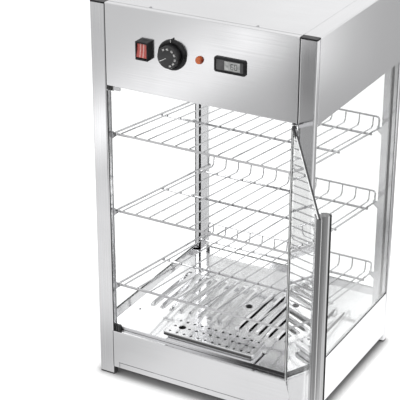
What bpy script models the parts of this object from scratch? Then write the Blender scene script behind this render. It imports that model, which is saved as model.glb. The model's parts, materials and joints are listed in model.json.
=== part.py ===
"""Heated display case: an upright glazed warming cabinet on four posts, with three sloping wire shelves.

Units are metres. The origin is at the centre of the base pan's underside, +Z is up, and the front, with the
controls and the door, faces -Y. The door is built shut and then swung open on its pins.
"""

import math

import bmesh
import bpy
from mathutils import Quaternion, Vector

# Case
CASE_WIDTH = 0.480
CASE_DEPTH = 0.420
BODY_HEIGHT = 0.803  # from the base pan's underside to the top
STAND_HEIGHT = 0.020  # from the floor to the base pan's underside
SHEET = 0.001
FOLD_RADIUS = 0.0018
HEM = 0.008  # turned edge of a folded sheet
GAP = 0.0003  # between pieces that touch
OVERRUN = 0.002  # how far a cutter passes the surface that it cuts

# Posts with their end caps
POST_WIDTH = 0.034
POST_DEPTH = 0.015
POST_WALL = 0.0012
POST_RADIUS = 0.003
POST_SLOT = 0.0055  # open seam down the side that faces the other post
POST_SLOT_FROM_SIDE = 0.0158
CAP_RIM = 0.003
CAP_PLUG = 0.012
CAP_CHAMFER = 0.0006

# Panels round the base and the head
HEAD_HEIGHT = 0.168
HEAD_FLANGE = 0.010
TOP_FLANGE = 0.012
SILL_HEIGHT = 0.086
LIP_CLEARANCE = 0.001  # between the sill's lip and the deck
GLAZED_BASE_HEIGHT = 0.102
PAN_RIM = 0.0115
RIM_REVEAL = 0.0012  # between the pan's rim and the lower front panel's notch
CORNER_TAB = 0.0127  # width of the front panel's feet beside the pan's rim
CEILING_RIM = 0.015

# Fixed glass and its channels
GLASS = 0.004
GLAZING_GAP = 0.0005
BASE_COVER = 0.017  # how far a base panel rises past the foot of the glass
HEAD_COVER = 0.0145
CHANNEL_LIP = 0.006
GLASS_LIFT = 0.001

# Deck over the heater
DECK_HEIGHT = 0.0928
DECK_RIM = 0.025
LOUVRE_WIDTH = 0.0105
LOUVRE_HEIGHT = 0.005
LOUVRE_LENGTH = 0.178
LOUVRE_END = 0.013  # over which a louvre rises to its full height
LOUVRE_SHOULDER_SHARE = 0.35  # of that length, where it stands at this share of its height
SHOULDER_HEIGHT_SHARE = 0.68
LOUVRES_EACH_SIDE = 8
FIRST_LOUVRE = 0.0265  # from the middle to the mouth of the innermost one
LAST_LOUVRE = 0.0520  # from the case's side to the mouth of the outermost one
SCREW_BACK = 0.012  # behind the deck's middle
SCREW_SHANK_RADIUS = 0.002
SCREW_SHANK_LENGTH = 0.012
SCREW_CUP_RADIUS = 0.0075
SCREW_CUP_HEIGHT = 0.0012
SCREW_HEAD_RADIUS = 0.0045
SCREW_HEAD_HEIGHT = 0.003
SCREW_HOLE_CLEARANCE = 0.0004

# Heater under the deck
ELEMENT_RADIUS = 0.004
ELEMENT_HEIGHT = 0.045
ELEMENT_HALF_WIDTH = 0.120
ELEMENT_LENGTH = 0.170
ELEMENT_FROM_BACK = 0.100
ELEMENT_TAIL_HALF = 0.035
ELEMENT_TAIL = 0.055
ELEMENT_BEND = 0.025
TERMINAL_WIDTH = 0.100
TERMINAL_DEPTH = 0.016
TERMINAL_MARGIN = 0.012  # above the element's tails
BRACKET_TOP = 0.016
BRACKET_FOOT = 0.010
BRACKET_LENGTH = 0.014

# Water tray with its perforated lid
TRAY_WIDTH = 0.210
TRAY_DEPTH = 0.062
TRAY_OFFSET = 0.010
TRAY_FROM_FRONT = 0.0158
TRAY_RADIUS = 0.006
PAN_HEIGHT = 0.0158
PAN_TAPER = 0.005
PAN_FIT = 0.0005
LID_RIM = 0.0075
LID_EDGE = 0.0008
HOLE_RADIUS = 0.0019
HOLE_PITCH_X = 0.01665
HOLE_PITCH_Y = 0.023
HOLE_COLUMNS = 12
HOLE_ROWS = 3
FINGER_RADIUS = 0.008
FINGER_COLUMN = 1  # the column of holes, counted from 0 at the left, that the finger hole stands in

# Wire shelves and the strips that carry them
SHELF_COUNT = 3
SHELF_OVER_DECK = 0.0992  # from the deck to the lowest shelf's wires at its front
HEAD_ROOM = 0.105  # from the highest shelf's wires at its front to the head
SHELF_TILT = math.radians(7.1)
WIRE_RADIUS = 0.0015
RAIL_RADIUS = 0.0025
ROD_RADIUS = 0.002
WELD_DEPTH = 0.0008
WIRE_COUNT = 13
WIRE_INSET = 0.0134  # from a side rod to the nearest wire
ROD_INSET = 0.006  # from the posts' inner sides to a side rod's axis
ROD_OVERHANG = 0.0015  # past the strips' hooks
FRONT_RAIL = 0.0205  # from the case's front
FENCE_FROM_BACK = 0.020
BASE_RAIL_FROM_FENCE = 0.040
MIDDLE_RAIL_SHARE = 0.473  # of the way from the front rail to the fence
FENCE_HEIGHT = 0.025
WIRE_BEND = 0.006
WIRE_TIP = 0.0015  # wire in front of the front rail's axis
STRIP_WIDTH = 0.014
STRIP_THICKNESS = 0.0015
HOOK_CLEARANCE = 0.0003
HOOK_WALL = 0.0032
HOOK_RISE = 0.003
HOOK_ROOT = 0.014

# Door
DOOR_GLASS = 0.005
DOOR_EDGE_GAP = 0.013  # from the shut door's free edge to the post
DOOR_OPEN = math.radians(121.8)
PIVOT_FROM_POST = 0.006
PIVOT_FORWARD = 0.0008  # in front of the case's front
HINGE_PLATE = 0.0015
HINGE_PLATE_DEPTH = 0.0095
PLATE_HALF = 0.0054
PIN_RADIUS = 0.0025
PIN_CLEARANCE = 0.00025
CLAMP_LENGTH = 0.050
CLAMP_HEIGHT = 0.0065
CLAMP_SIDE = 0.0007
CLAMP_END = 0.0012
CLAMP_BOSS_RADIUS = 0.0043
CLAMP_BOSS_HEIGHT = 0.0085
GLASS_PAST_PIVOT = 0.0015
HANDLE_WALL = 0.002
HANDLE_CHANNEL = 0.022
HANDLE_CORNER = 0.001
GRIP_SET_BACK = 0.010
GRIP_WIDTH = 0.016
GRIP_PROUD = 0.016
GRIP_GROOVE = 0.0012  # between the channel and the grip
GRIP_NECK = 0.006

# Door catches
CATCH_WIDTH = 0.0122
CATCH_DEPTH = 0.010
CATCH_HEIGHT = 0.0105
CATCH_FROM_FRONT = 0.0045
CATCH_GROOVES = 3
GROOVE_WIDTH = 0.0013
GROOVE_DEPTH = 0.0015
CATCH_PLATE_LENGTH = 0.0162
CATCH_PLATE_HEIGHT = 0.009
CATCH_PLATE_THICKNESS = 0.0015
CATCH_PLATE_RADIUS = 0.003

# Controls
CONTROL_DROP = 0.0795  # from the top to the controls' centres
CUT_CLEARANCE = 0.0003
CUT_RADIUS = 0.001

ROCKER_X = -0.1175
ROCKER_WIDTH = 0.0275
ROCKER_HEIGHT = 0.037
ROCKER_PROUD = 0.0127
ROCKER_BODY_WIDTH = 0.024
ROCKER_BODY_HEIGHT = 0.032
ROCKER_BODY_DEPTH = 0.024
ROCKER_CAVITY_WIDTH = 0.0225
ROCKER_CAVITY_HEIGHT = 0.0300
ROCKER_CAVITY_DEPTH = 0.016
ROCKER_CORNER = 0.0012
BUTTON_HALF_HEIGHT = 0.0134
BUTTON_FRONT = 0.0112  # in front of the panel, at the button's ends
BUTTON_VALLEY = 0.0010
BUTTON_PIVOT = 0.005
BUTTON_WAIST = 0.0035
BUTTON_HEEL = 0.0005
BUTTON_HEEL_HALF = 0.005
BUTTON_TILT = math.radians(8)

KNOB_X = -0.057
KNOB_RADIUS = 0.022
KNOB_BACK = 0.0028
KNOB_FRONT = 0.020
KNOB_EDGE = 0.0012
KNOB_BORE_DEPTH = 0.010
POINTER_ANGLE = math.radians(209)
POINTER_WIDTH = 0.0013
POINTER_DEPTH = 0.0006
POINTER_START = 0.003
POINTER_END = 0.0195
DIAL_RADIUS = 0.030
DIAL_BASE = 0.0022
DIAL_RIM = 0.006
DIAL_SHOULDER = 0.003
DIAL_CREST_OUTER = 0.0275
DIAL_CREST_INNER = 0.0245
DIAL_WELL = 0.0236
DIAL_BORE = 0.006
NIB_WIDTH = 0.0032
NIB_TIP = 0.0325
NIB_ROOT = 0.0255
NIB_HEIGHT = 0.0066
SHAFT_RADIUS = 0.003
SHAFT_CLEARANCE = 0.0002
SHAFT_SOCKET = 0.008
THERMOSTAT_WIDTH = 0.044
THERMOSTAT_HEIGHT = 0.036
THERMOSTAT_DEPTH = 0.028

LAMP_X = 0.0015
LAMP_LENS_RADIUS = 0.0066
LAMP_LENS_PROUD = 0.0065
LAMP_LENS_EDGE = 0.001
LAMP_COLLAR_RADIUS = 0.0078
LAMP_COLLAR = 0.0018
LAMP_BODY_RADIUS = 0.0055
LAMP_BODY_DEPTH = 0.018

METER_X = 0.0665
METER_WIDTH = 0.066
METER_HEIGHT = 0.030
METER_PROUD = 0.004
METER_RADIUS = 0.004
METER_CHAMFER = 0.0012
METER_FRAME = 0.0045
METER_RECESS = 0.0022
METER_SLOPE = 0.0008
METER_BODY_WIDTH = 0.058
METER_BODY_HEIGHT = 0.025
METER_BODY_DEPTH = 0.022
DISPLAY_THICKNESS = 0.0012

# Cord gland at the back
GLAND_FROM_SIDE = 0.090
GLAND_HEIGHT = 0.050
GLAND_BORE = 0.0045
GLAND_THREAD = 0.0078
GLAND_INSIDE = 0.009
GLAND_HEX = 0.011
GLAND_HEX_LENGTH = 0.006
GLAND_DOME = 0.0095
GLAND_DOME_LENGTH = 0.006
GLAND_NOSE = 0.0066
GLAND_NOSE_LENGTH = 0.005

# Facets
ARC_STEPS = 3
FOLD_STEPS = 3
ROUND_STEPS = 24
FINE_STEPS = 36
SLOT_STEPS = 4
LOUVRE_STEPS = 2
WIRE_SIDES = 5
RAIL_SIDES = 6
BEND_STEPS = 1
ELEMENT_STEPS = 4
SHARP_ANGLE = math.radians(35)

# Places that several pieces share
HEAD_EDGE = BODY_HEIGHT - HEAD_HEIGHT
SIDE = CASE_WIDTH / 2
FRONT = -CASE_DEPTH / 2
BACK = CASE_DEPTH / 2
FLOOR = -STAND_HEIGHT
POST_INNER = SIDE - POST_WIDTH
PANEL_END = POST_INNER - GAP
BAY_FRONT = FRONT + POST_DEPTH + GAP
BAY_BACK = BACK - POST_DEPTH - GAP
CHANNEL_INSIDE = SHEET + GLASS + 2 * GLAZING_GAP
CHANNEL_BACK = CHANNEL_INSIDE + SHEET
CHANNEL_FLOOR = GLAZED_BASE_HEIGHT - BASE_COVER
ELEMENT_BACK = BACK - ELEMENT_FROM_BACK
ELEMENT_FRONT = ELEMENT_BACK - ELEMENT_LENGTH
ELEMENT_TAIL_END = ELEMENT_BACK + ELEMENT_TAIL
CHANNEL_CEILING = HEAD_EDGE + HEAD_COVER
LOWEST_SHELF = DECK_HEIGHT + SHELF_OVER_DECK
SHELF_PITCH = (HEAD_EDGE - HEAD_ROOM - LOWEST_SHELF) / (SHELF_COUNT - 1)
DECK_TOP = DECK_HEIGHT
ROD_X = POST_INNER - ROD_INSET
PIVOT_X = POST_INNER - PIVOT_FROM_POST
DOOR_REACH = PIVOT_X + POST_INNER - DOOR_EDGE_GAP
PIVOT_Y = FRONT - PIVOT_FORWARD
CLAMP_TOP = HEAD_EDGE - GAP - HINGE_PLATE - GAP
CLAMP_BOTTOM = SILL_HEIGHT + GAP + HINGE_PLATE + GAP
DOOR_TOP = CLAMP_TOP - CLAMP_END - GAP
DOOR_BOTTOM = CLAMP_BOTTOM + CLAMP_END + GAP
HALF_GLASS_SLOT = DOOR_GLASS / 2 + GAP
HALF_HANDLE = HALF_GLASS_SLOT + HANDLE_WALL
CONTROL_LINE = BODY_HEIGHT - CONTROL_DROP
GLAND_X = SIDE - GLAND_FROM_SIDE


def clear_scene():
    for obj in list(bpy.data.objects):
        bpy.data.objects.remove(obj, do_unlink=True)


def make_material(name, colour, roughness, metallic=0.0, alpha=1.0):
    material = bpy.data.materials.new(name)
    material.use_nodes = True
    shader = material.node_tree.nodes["Principled BSDF"]
    shader.inputs["Base Color"].default_value = (*colour, 1.0)
    shader.inputs["Roughness"].default_value = roughness
    shader.inputs["Metallic"].default_value = metallic
    shader.inputs["Alpha"].default_value = alpha
    return material


def add_mesh(name, mesh, material):
    obj = bpy.data.objects.new(name, mesh)
    bpy.context.collection.objects.link(obj)
    if not mesh.materials:
        mesh.materials.append(material)
        mesh.shade_smooth()
        mesh.set_sharp_from_angle(angle=SHARP_ANGLE)
    return obj


def add_shape(name, bm, material):
    bmesh.ops.recalc_face_normals(bm, faces=bm.faces)
    mesh = bpy.data.meshes.new(name)
    bm.to_mesh(mesh)
    bm.free()
    return add_mesh(name, mesh, material)


def placed(point, axis, along):
    """A point of a flat outline, set at a distance along an axis."""
    across, up = point
    return {"X": (along, across, up), "Y": (across, along, up), "Z": (across, up, along)}[axis]


def extrude(name, outlines, axis, start, end, material):
    """Prisms that stand on flat outlines and run from start to end along an axis."""
    bm = bmesh.new()
    for outline in outlines:
        face = bm.faces.new([bm.verts.new(placed(point, axis, start)) for point in outline])
        grown = bmesh.ops.extrude_face_region(bm, geom=[face])["geom"]
        moved = [item for item in grown if isinstance(item, bmesh.types.BMVert)]
        bmesh.ops.translate(bm, vec=placed((0, 0), axis, end - start), verts=moved)
    return add_shape(name, bm, material)


def skin(bm, loops, ring=False):
    """Faces from loop to loop, and a cap on each end unless the last loop joins the first."""
    rows = [[bm.verts.new(point) for point in loop] for loop in loops]
    steps = list(zip(rows, rows[1:])) + ([(rows[-1], rows[0])] if ring else [])
    for first, second in steps:
        for i in range(len(first)):
            bm.faces.new((first[i - 1], first[i], second[i], second[i - 1]))
    if not ring:
        bm.faces.new(rows[0])
        bm.faces.new(rows[-1])


def loft(name, loops, material, ring=False):
    bm = bmesh.new()
    skin(bm, loops, ring)
    return add_shape(name, bm, material)


def box(name, low, high, material):
    outline = rectangle(low[0], high[0], low[1], high[1])
    return extrude(name, [outline], "Z", low[2], high[2], material)


def boolean(target, tool, operation="DIFFERENCE"):
    tool.hide_render = True
    tool.display_type = "WIRE"
    modifier = target.modifiers.new(tool.name, "BOOLEAN")
    modifier.operation = operation
    modifier.object = tool
    return target


def baked_mesh(obj):
    """The mesh of an object with its modifiers applied, for copies that share it."""
    graph = bpy.context.evaluated_depsgraph_get()
    return bpy.data.meshes.new_from_object(obj.evaluated_get(graph))


def rectangle(x0, x1, y0, y1):
    return [(x0, y0), (x1, y0), (x1, y1), (x0, y1)]


def arc(centre, radius, start, end, steps):
    """Points on an arc between two angles in degrees, both ends included."""
    angles = [math.radians(start + (end - start) * i / steps) for i in range(steps + 1)]
    return [(centre[0] + radius * math.cos(a), centre[1] + radius * math.sin(a)) for a in angles]


def rounded_rectangle(width, depth, radius, centre=(0, 0), steps=ARC_STEPS):
    x, y = width / 2 - radius, depth / 2 - radius
    points = []
    for start, sx, sy in ((0, 1, 1), (90, -1, 1), (180, -1, -1), (270, 1, -1)):
        corner = (centre[0] + sx * x, centre[1] + sy * y)
        points += arc(corner, radius, start, start + 90, steps)
    return points


def circle(centre, radius, steps=ROUND_STEPS):
    return arc(centre, radius, 0, 360, steps)[:-1]


def slot(centre, width, length):
    """The outline of a slot with round ends that runs along the second axis."""
    radius, reach = width / 2, (length - width) / 2
    far = arc((centre[0], centre[1] + reach), radius, 0, 180, SLOT_STEPS)
    near = arc((centre[0], centre[1] - reach), radius, 180, 360, SLOT_STEPS)
    return far + near


def rounded_path(corners, radius, steps):
    """The path through the corners, with an arc in place of each corner between its ends."""
    corners = [Vector(corner) for corner in corners]
    path = [corners[0]]
    for before, corner, after in zip(corners, corners[1:], corners[2:]):
        back, ahead = (before - corner).normalized(), (after - corner).normalized()
        half = back.angle(ahead) / 2
        centre = corner + (back + ahead).normalized() * (radius / math.sin(half))
        start = corner + back * (radius / math.tan(half)) - centre
        end = corner + ahead * (radius / math.tan(half)) - centre
        path += [centre + radius * start.slerp(end, i / steps) for i in range(steps + 1)]
    return path + [corners[-1]]


def folded_sheet(corners):
    """The outline of a folded sheet whose middle follows the corners."""
    path = rounded_path(corners, FOLD_RADIUS - SHEET / 2, FOLD_STEPS)
    runs = [(b - a).normalized() for a, b in zip(path, path[1:])]
    sides = []
    for before, after in zip([runs[0]] + runs, runs + [runs[-1]]):
        normal = Vector((-before.y - after.y, before.x + after.x)).normalized()
        sides.append(normal * (SHEET / 2 / normal.dot(Vector((-before.y, before.x)))))
    left = [tuple(point + side) for point, side in zip(path, sides)]
    right = [tuple(point - side) for point, side in zip(path, sides)]
    return left + right[::-1]


def raised(outline, height):
    return [(x, y, height) for x, y in outline]


def upright(outline, y):
    """An outline in the plane of the front, set at a place along Y."""
    return [(x, y, z) for x, z in outline]


def plan(wide, front, back, tab, front_tab, back_tab, inset):
    """Corners of a plate with a tab between each pair of posts. A tab that ends at the plate is left out."""
    right = []
    if front_tab < front:
        right += [(tab - inset, front_tab + inset), (tab - inset, front + inset)]
    right += [(wide - inset, front + inset), (wide - inset, back - inset)]
    if back_tab > back:
        right += [(tab - inset, back - inset), (tab - inset, back_tab - inset)]
    return right + [(-x, y) for x, y in reversed(right)]


def shell(name, corners, plate, rim, material):
    """A plate with a rim folded up or down along its edges. Corners holds the plan's sizes."""
    inner = plate + math.copysign(SHEET, rim - plate)
    loops = ((SHEET, inner), (SHEET, rim), (0, rim), (0, plate))
    return loft(name, [raised(plan(*corners, inset), z) for inset, z in loops], material)


def post_outline():
    """A rear right post in plan about its middle, folded round from one side of its slot to the other."""
    slot_middle = POST_WIDTH / 2 - POST_SLOT_FROM_SIDE
    near, far = slot_middle - POST_SLOT / 2, slot_middle + POST_SLOT / 2
    edge, inner = -POST_DEPTH / 2, POST_WALL - POST_DEPTH / 2
    outside = rounded_rectangle(POST_WIDTH, POST_DEPTH, POST_RADIUS)
    width, depth = POST_WIDTH - 2 * POST_WALL, POST_DEPTH - 2 * POST_WALL
    inside = rounded_rectangle(width, depth, POST_RADIUS - POST_WALL)
    corner = ARC_STEPS + 1
    around = outside[-corner:] + outside[:-corner]
    back_round = inside[-corner:] + inside[:-corner]
    return [(far, edge)] + around + [(near, edge), (near, inner)] + back_round[::-1] + [(far, inner)]


def add_posts(steel, black):
    post_bottom = FLOOR + CAP_RIM + GAP
    post_top = BODY_HEIGHT - CAP_RIM - GAP
    outside = rounded_rectangle(POST_WIDTH, POST_DEPTH, POST_RADIUS)
    bore_width, bore_depth = POST_WIDTH - 2 * POST_WALL, POST_DEPTH - 2 * POST_WALL

    plug_radius = POST_RADIUS - POST_WALL - GAP
    plug = rounded_rectangle(bore_width - 2 * GAP, bore_depth - 2 * GAP, plug_radius)
    crown_size = (POST_WIDTH - 2 * CAP_CHAMFER, POST_DEPTH - 2 * CAP_CHAMFER)
    crown = rounded_rectangle(*crown_size, POST_RADIUS - CAP_CHAMFER)
    cap_loops = [raised(plug, -CAP_PLUG), raised(plug, 0), raised(outside, 0)]
    cap_loops += [raised(outside, CAP_RIM - CAP_CHAMFER), raised(crown, CAP_RIM)]

    cap_mesh = None
    for end, along in (("front", -1), ("rear", 1)):
        for side, across in (("left", -1), ("right", 1)):
            x, y = across * (SIDE - POST_WIDTH / 2), along * (BACK - POST_DEPTH / 2)
            outline = [(x + across * u, y + along * v) for u, v in post_outline()]
            extrude(f"post_{end}_{side}", [outline], "Z", post_bottom, post_top, steel)
            if cap_mesh is None:
                cap = loft(f"post_cap_{end}_{side}", cap_loops, black)
                cap_mesh = cap.data
            else:
                cap = add_mesh(f"post_cap_{end}_{side}", cap_mesh, black)
            foot = add_mesh(f"foot_{end}_{side}", cap_mesh, black)
            cap.location = (x, y, BODY_HEIGHT - CAP_RIM)
            foot.location = (x, y, FLOOR + CAP_RIM)
            foot.rotation_euler = (math.pi, 0, 0)


def glazed_base_profile():
    """A base panel in section, with the channel for the glass: inward distance and height."""
    web = CHANNEL_FLOOR - SHEET
    lip = CHANNEL_FLOOR + CHANNEL_LIP
    wall = [(0, GLAZED_BASE_HEIGHT), (0, 0), (SHEET, 0), (SHEET, web)]
    channel = [(CHANNEL_BACK, web), (CHANNEL_BACK, lip), (CHANNEL_INSIDE, lip)]
    end = [(CHANNEL_INSIDE, CHANNEL_FLOOR), (SHEET, CHANNEL_FLOOR), (SHEET, GLAZED_BASE_HEIGHT)]
    return wall + channel + end


def glazed_head_profile(flange):
    """A head panel in section, with a top flange and the channel over the glass."""
    web = CHANNEL_CEILING + SHEET
    lip = CHANNEL_CEILING - CHANNEL_LIP
    bend = (FOLD_RADIUS, BODY_HEIGHT - FOLD_RADIUS)
    outside = [(0, HEAD_EDGE)] + arc(bend, FOLD_RADIUS, 180, 90, FOLD_STEPS)
    outside += [(flange, BODY_HEIGHT), (flange, BODY_HEIGHT - HEM), (flange - SHEET, BODY_HEIGHT - HEM)]
    inside = [(flange - SHEET, BODY_HEIGHT - SHEET)] + arc(bend, FOLD_RADIUS - SHEET, 90, 180, FOLD_STEPS)
    channel = [(SHEET, web), (CHANNEL_BACK, web), (CHANNEL_BACK, lip), (CHANNEL_INSIDE, lip)]
    end = [(CHANNEL_INSIDE, CHANNEL_CEILING), (SHEET, CHANNEL_CEILING), (SHEET, HEAD_EDGE)]
    return outside + inside + channel + end


def add_glazed_panels(steel, glass, gland_hole):
    glass_bottom = CHANNEL_FLOOR + GAP
    glass_top = CHANNEL_CEILING - GLASS_LIFT
    glass_near = SHEET + GLAZING_GAP
    for side, sign in (("left", -1), ("right", 1)):
        for name, profile in (("base", glazed_base_profile()), ("head", glazed_head_profile(POST_WIDTH))):
            outline = [(sign * (SIDE - inward), z) for inward, z in profile]
            extrude(f"side_{name}_{side}", [outline], "Y", BAY_FRONT, BAY_BACK, steel)
        near, far = sign * (SIDE - glass_near), sign * (SIDE - glass_near - GLASS)
        low = (min(near, far), BAY_FRONT, glass_bottom)
        box(f"side_glass_{side}", low, (max(near, far), BAY_BACK, glass_top), glass)
    profiles = {"rear_base": glazed_base_profile(), "rear_head": glazed_head_profile(TOP_FLANGE)}
    for name, profile in profiles.items():
        outline = [(BACK - inward, z) for inward, z in profile]
        panel = extrude(name, [outline], "X", -PANEL_END, PANEL_END, steel)
        if name == "rear_base":
            boolean(panel, gland_hole)
    low = (-PANEL_END, BACK - glass_near - GLASS, glass_bottom)
    box("rear_glass", low, (PANEL_END, BACK - glass_near, glass_top), glass)


def add_base(steel):
    notch = POST_INNER - CORNER_TAB
    tab_back = BACK - SHEET - GAP
    outline = (SIDE - SHEET - GAP, BAY_FRONT, BAY_BACK, notch - GAP, FRONT, tab_back)
    shell("base_pan", outline, 0, PAN_RIM, steel)

    lip_end = FRONT + POST_DEPTH - LIP_CLEARANCE + GAP - SHEET / 2
    face, top = FRONT + SHEET / 2, SILL_HEIGHT - SHEET / 2
    path = [(lip_end, SILL_HEIGHT - HEM), (lip_end, top), (face, top), (face, 0)]
    panel = extrude("front_base_panel", [folded_sheet(path)], "X", -PANEL_END, PANEL_END, steel)
    low = (-notch, FRONT - OVERRUN, -OVERRUN)
    high = (notch, FRONT + SHEET + OVERRUN, PAN_RIM + RIM_REVEAL)
    boolean(panel, box("front_base_notch", low, high, steel))


def add_head(steel, inner_steel):
    face, top = FRONT + SHEET / 2, BODY_HEIGHT - SHEET / 2
    bottom = HEAD_EDGE + SHEET / 2
    lower_end, upper_end = FRONT + HEAD_FLANGE - SHEET / 2, FRONT + TOP_FLANGE - SHEET / 2
    path = [(lower_end, HEAD_EDGE + HEM), (lower_end, bottom), (face, bottom)]
    path += [(face, top), (upper_end, top), (upper_end, BODY_HEIGHT - HEM)]
    panel = extrude("control_panel", [folded_sheet(path)], "X", -PANEL_END, PANEL_END, steel)
    rocker_cut = (ROCKER_BODY_WIDTH + 2 * CUT_CLEARANCE, ROCKER_BODY_HEIGHT + 2 * CUT_CLEARANCE, CUT_RADIUS)
    meter_cut = (METER_BODY_WIDTH + 2 * CUT_CLEARANCE, METER_BODY_HEIGHT + 2 * CUT_CLEARANCE, CUT_RADIUS)
    cuts = [
        rounded_rectangle(*rocker_cut, (ROCKER_X, CONTROL_LINE)),
        rounded_rectangle(*meter_cut, (METER_X, CONTROL_LINE)),
        circle((KNOB_X, CONTROL_LINE), DIAL_BORE),
        circle((LAMP_X, CONTROL_LINE), LAMP_BODY_RADIUS + CUT_CLEARANCE),
    ]
    boolean(panel, extrude("control_cuts", cuts, "Y", FRONT - OVERRUN, FRONT + SHEET + OVERRUN, steel))

    front, back = FRONT + TOP_FLANGE + GAP, BACK - TOP_FLANGE - GAP
    outline = (PANEL_END, front, back, PANEL_END, front, back)
    shell("top_cover", outline, BODY_HEIGHT, BODY_HEIGHT - HEM, steel)
    wide = SIDE - CHANNEL_BACK - GAP
    tabs = (PANEL_END, FRONT + HEAD_FLANGE + GAP, BACK - CHANNEL_BACK - GAP)
    shell("ceiling", (wide, BAY_FRONT, BAY_BACK, *tabs), HEAD_EDGE, HEAD_EDGE + CEILING_RIM, inner_steel)


def louvre_section(sign, back, y, low, rise, inset, mouth):
    """A louvre across its length: a quarter round from its back up to its mouth, closed down to a level."""
    turns = [math.pi / 2 * i / LOUVRE_STEPS for i in range(LOUVRE_STEPS + 1)]
    round_top = [(back + mouth - (mouth - inset) * math.cos(a), max(rise * math.sin(a), low)) for a in turns]
    section = [(back + inset, low)] + round_top[1:] + [(back + mouth, low)]
    return [(sign * x, y, DECK_TOP + z) for x, z in section]


def louvre_solids(sign, back):
    """A louvre as a solid block, and the hollow under it that opens at its mouth and through the deck."""
    half, full = LOUVRE_LENGTH / 2, LOUVRE_LENGTH / 2 - LOUVRE_END
    shoulder = half - LOUVRE_END * LOUVRE_SHOULDER_SHARE
    shoulder_rise = LOUVRE_HEIGHT * SHOULDER_HEIGHT_SHARE
    root, below = -SHEET / 2, -SHEET - OVERRUN
    block = [(half, root / 2), (shoulder, shoulder_rise), (full, LOUVRE_HEIGHT)]
    hollow = [(shoulder, shoulder_rise - SHEET), (full, LOUVRE_HEIGHT - SHEET)]
    solids = []
    cases = ((block, root, 0, LOUVRE_WIDTH), (hollow, below, SHEET, LOUVRE_WIDTH + GAP))
    for half_stations, low, inset, mouth in cases:
        stations = [(-y, rise) for y, rise in half_stations] + half_stations[::-1]
        solids.append([louvre_section(sign, back, y, low, rise, inset, mouth) for y, rise in stations])
    return solids


def add_deck(inner_steel, black):
    wide = SIDE - CHANNEL_BACK - GAP
    corners = (wide, BAY_FRONT, BAY_BACK, PANEL_END, BAY_FRONT, BACK - CHANNEL_BACK - GAP)
    deck = shell("deck", corners, DECK_TOP, DECK_TOP - DECK_RIM, inner_steel)
    blocks, hollows = bmesh.new(), bmesh.new()
    pitch = (SIDE - LAST_LOUVRE - FIRST_LOUVRE) / (LOUVRES_EACH_SIDE - 1)
    for i in range(LOUVRES_EACH_SIDE):
        for sign in (-1, 1):
            block, hollow = louvre_solids(sign, FIRST_LOUVRE + i * pitch - LOUVRE_WIDTH)
            skin(blocks, block)
            skin(hollows, hollow)
    boolean(deck, add_shape("louvre_blocks", blocks, inner_steel), "UNION")
    boolean(deck, add_shape("louvre_hollows", hollows, inner_steel))
    screw_hole = circle((0, SCREW_BACK), SCREW_SHANK_RADIUS + SCREW_HOLE_CLEARANCE, SLOT_STEPS * 2)
    low, high = DECK_TOP - SHEET - OVERRUN, DECK_TOP + OVERRUN
    boolean(deck, extrude("deck_hole", [screw_hole], "Z", low, high, inner_steel))

    seat = DECK_TOP + GAP
    crown = seat + SCREW_CUP_HEIGHT + SCREW_HEAD_HEIGHT
    rings = [
        (SCREW_SHANK_RADIUS, seat - SCREW_SHANK_LENGTH),
        (SCREW_SHANK_RADIUS, seat),
        (SCREW_CUP_RADIUS, seat),
        (SCREW_CUP_RADIUS - SCREW_CUP_HEIGHT / 2, seat + SCREW_CUP_HEIGHT),
        (SCREW_HEAD_RADIUS, seat + SCREW_CUP_HEIGHT),
        (SCREW_HEAD_RADIUS * math.cos(math.pi / 4), crown - SCREW_HEAD_HEIGHT / 3),
        (SCREW_HEAD_RADIUS * math.sin(math.pi / 8), crown),
    ]
    loft("deck_screw", [raised(circle((0, SCREW_BACK), r, 12), z) for r, z in rings], black)


def add_heater(dark_steel, ceramic, steel):
    corners = [
        (-ELEMENT_TAIL_HALF, ELEMENT_TAIL_END, ELEMENT_HEIGHT),
        (-ELEMENT_TAIL_HALF, ELEMENT_BACK, ELEMENT_HEIGHT),
        (-ELEMENT_HALF_WIDTH, ELEMENT_BACK, ELEMENT_HEIGHT),
        (-ELEMENT_HALF_WIDTH, ELEMENT_FRONT, ELEMENT_HEIGHT),
    ]
    corners += [(-x, y, z) for x, y, z in reversed(corners)]
    path = rounded_path(corners, ELEMENT_BEND, ELEMENT_STEPS)
    curve = bpy.data.curves.new("heating_element", "CURVE")
    curve.dimensions = "3D"
    curve.bevel_depth = ELEMENT_RADIUS
    curve.bevel_resolution = 1
    curve.use_fill_caps = True
    spline = curve.splines.new("POLY")
    spline.points.add(len(path) - 1)
    for point, place in zip(spline.points, path):
        point.co = (*place, 1)
    curve.materials.append(dark_steel)
    bpy.context.collection.objects.link(bpy.data.objects.new("heating_element", curve))

    floor = SHEET + GAP
    near = ELEMENT_TAIL_END + GAP
    low = (-TERMINAL_WIDTH / 2, near, floor)
    high = (TERMINAL_WIDTH / 2, near + TERMINAL_DEPTH, ELEMENT_HEIGHT + TERMINAL_MARGIN)
    box("terminal_block", low, high, ceramic)

    shelf = ELEMENT_HEIGHT - ELEMENT_RADIUS - GAP - SHEET / 2
    foot = floor + SHEET / 2
    half = [(BRACKET_TOP / 2, shelf), (BRACKET_TOP / 2, foot), (BRACKET_TOP / 2 + BRACKET_FOOT, foot)]
    hat = [(-x, z) for x, z in reversed(half)] + half
    for side, x in (("left", -ELEMENT_HALF_WIDTH), ("right", ELEMENT_HALF_WIDTH)):
        outline = folded_sheet([(x + across, z) for across, z in hat])
        middle = ELEMENT_BACK - ELEMENT_LENGTH / 2
        ends = (middle - BRACKET_LENGTH / 2, middle + BRACKET_LENGTH / 2)
        extrude(f"element_bracket_{side}", [outline], "Y", *ends, steel)


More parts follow.
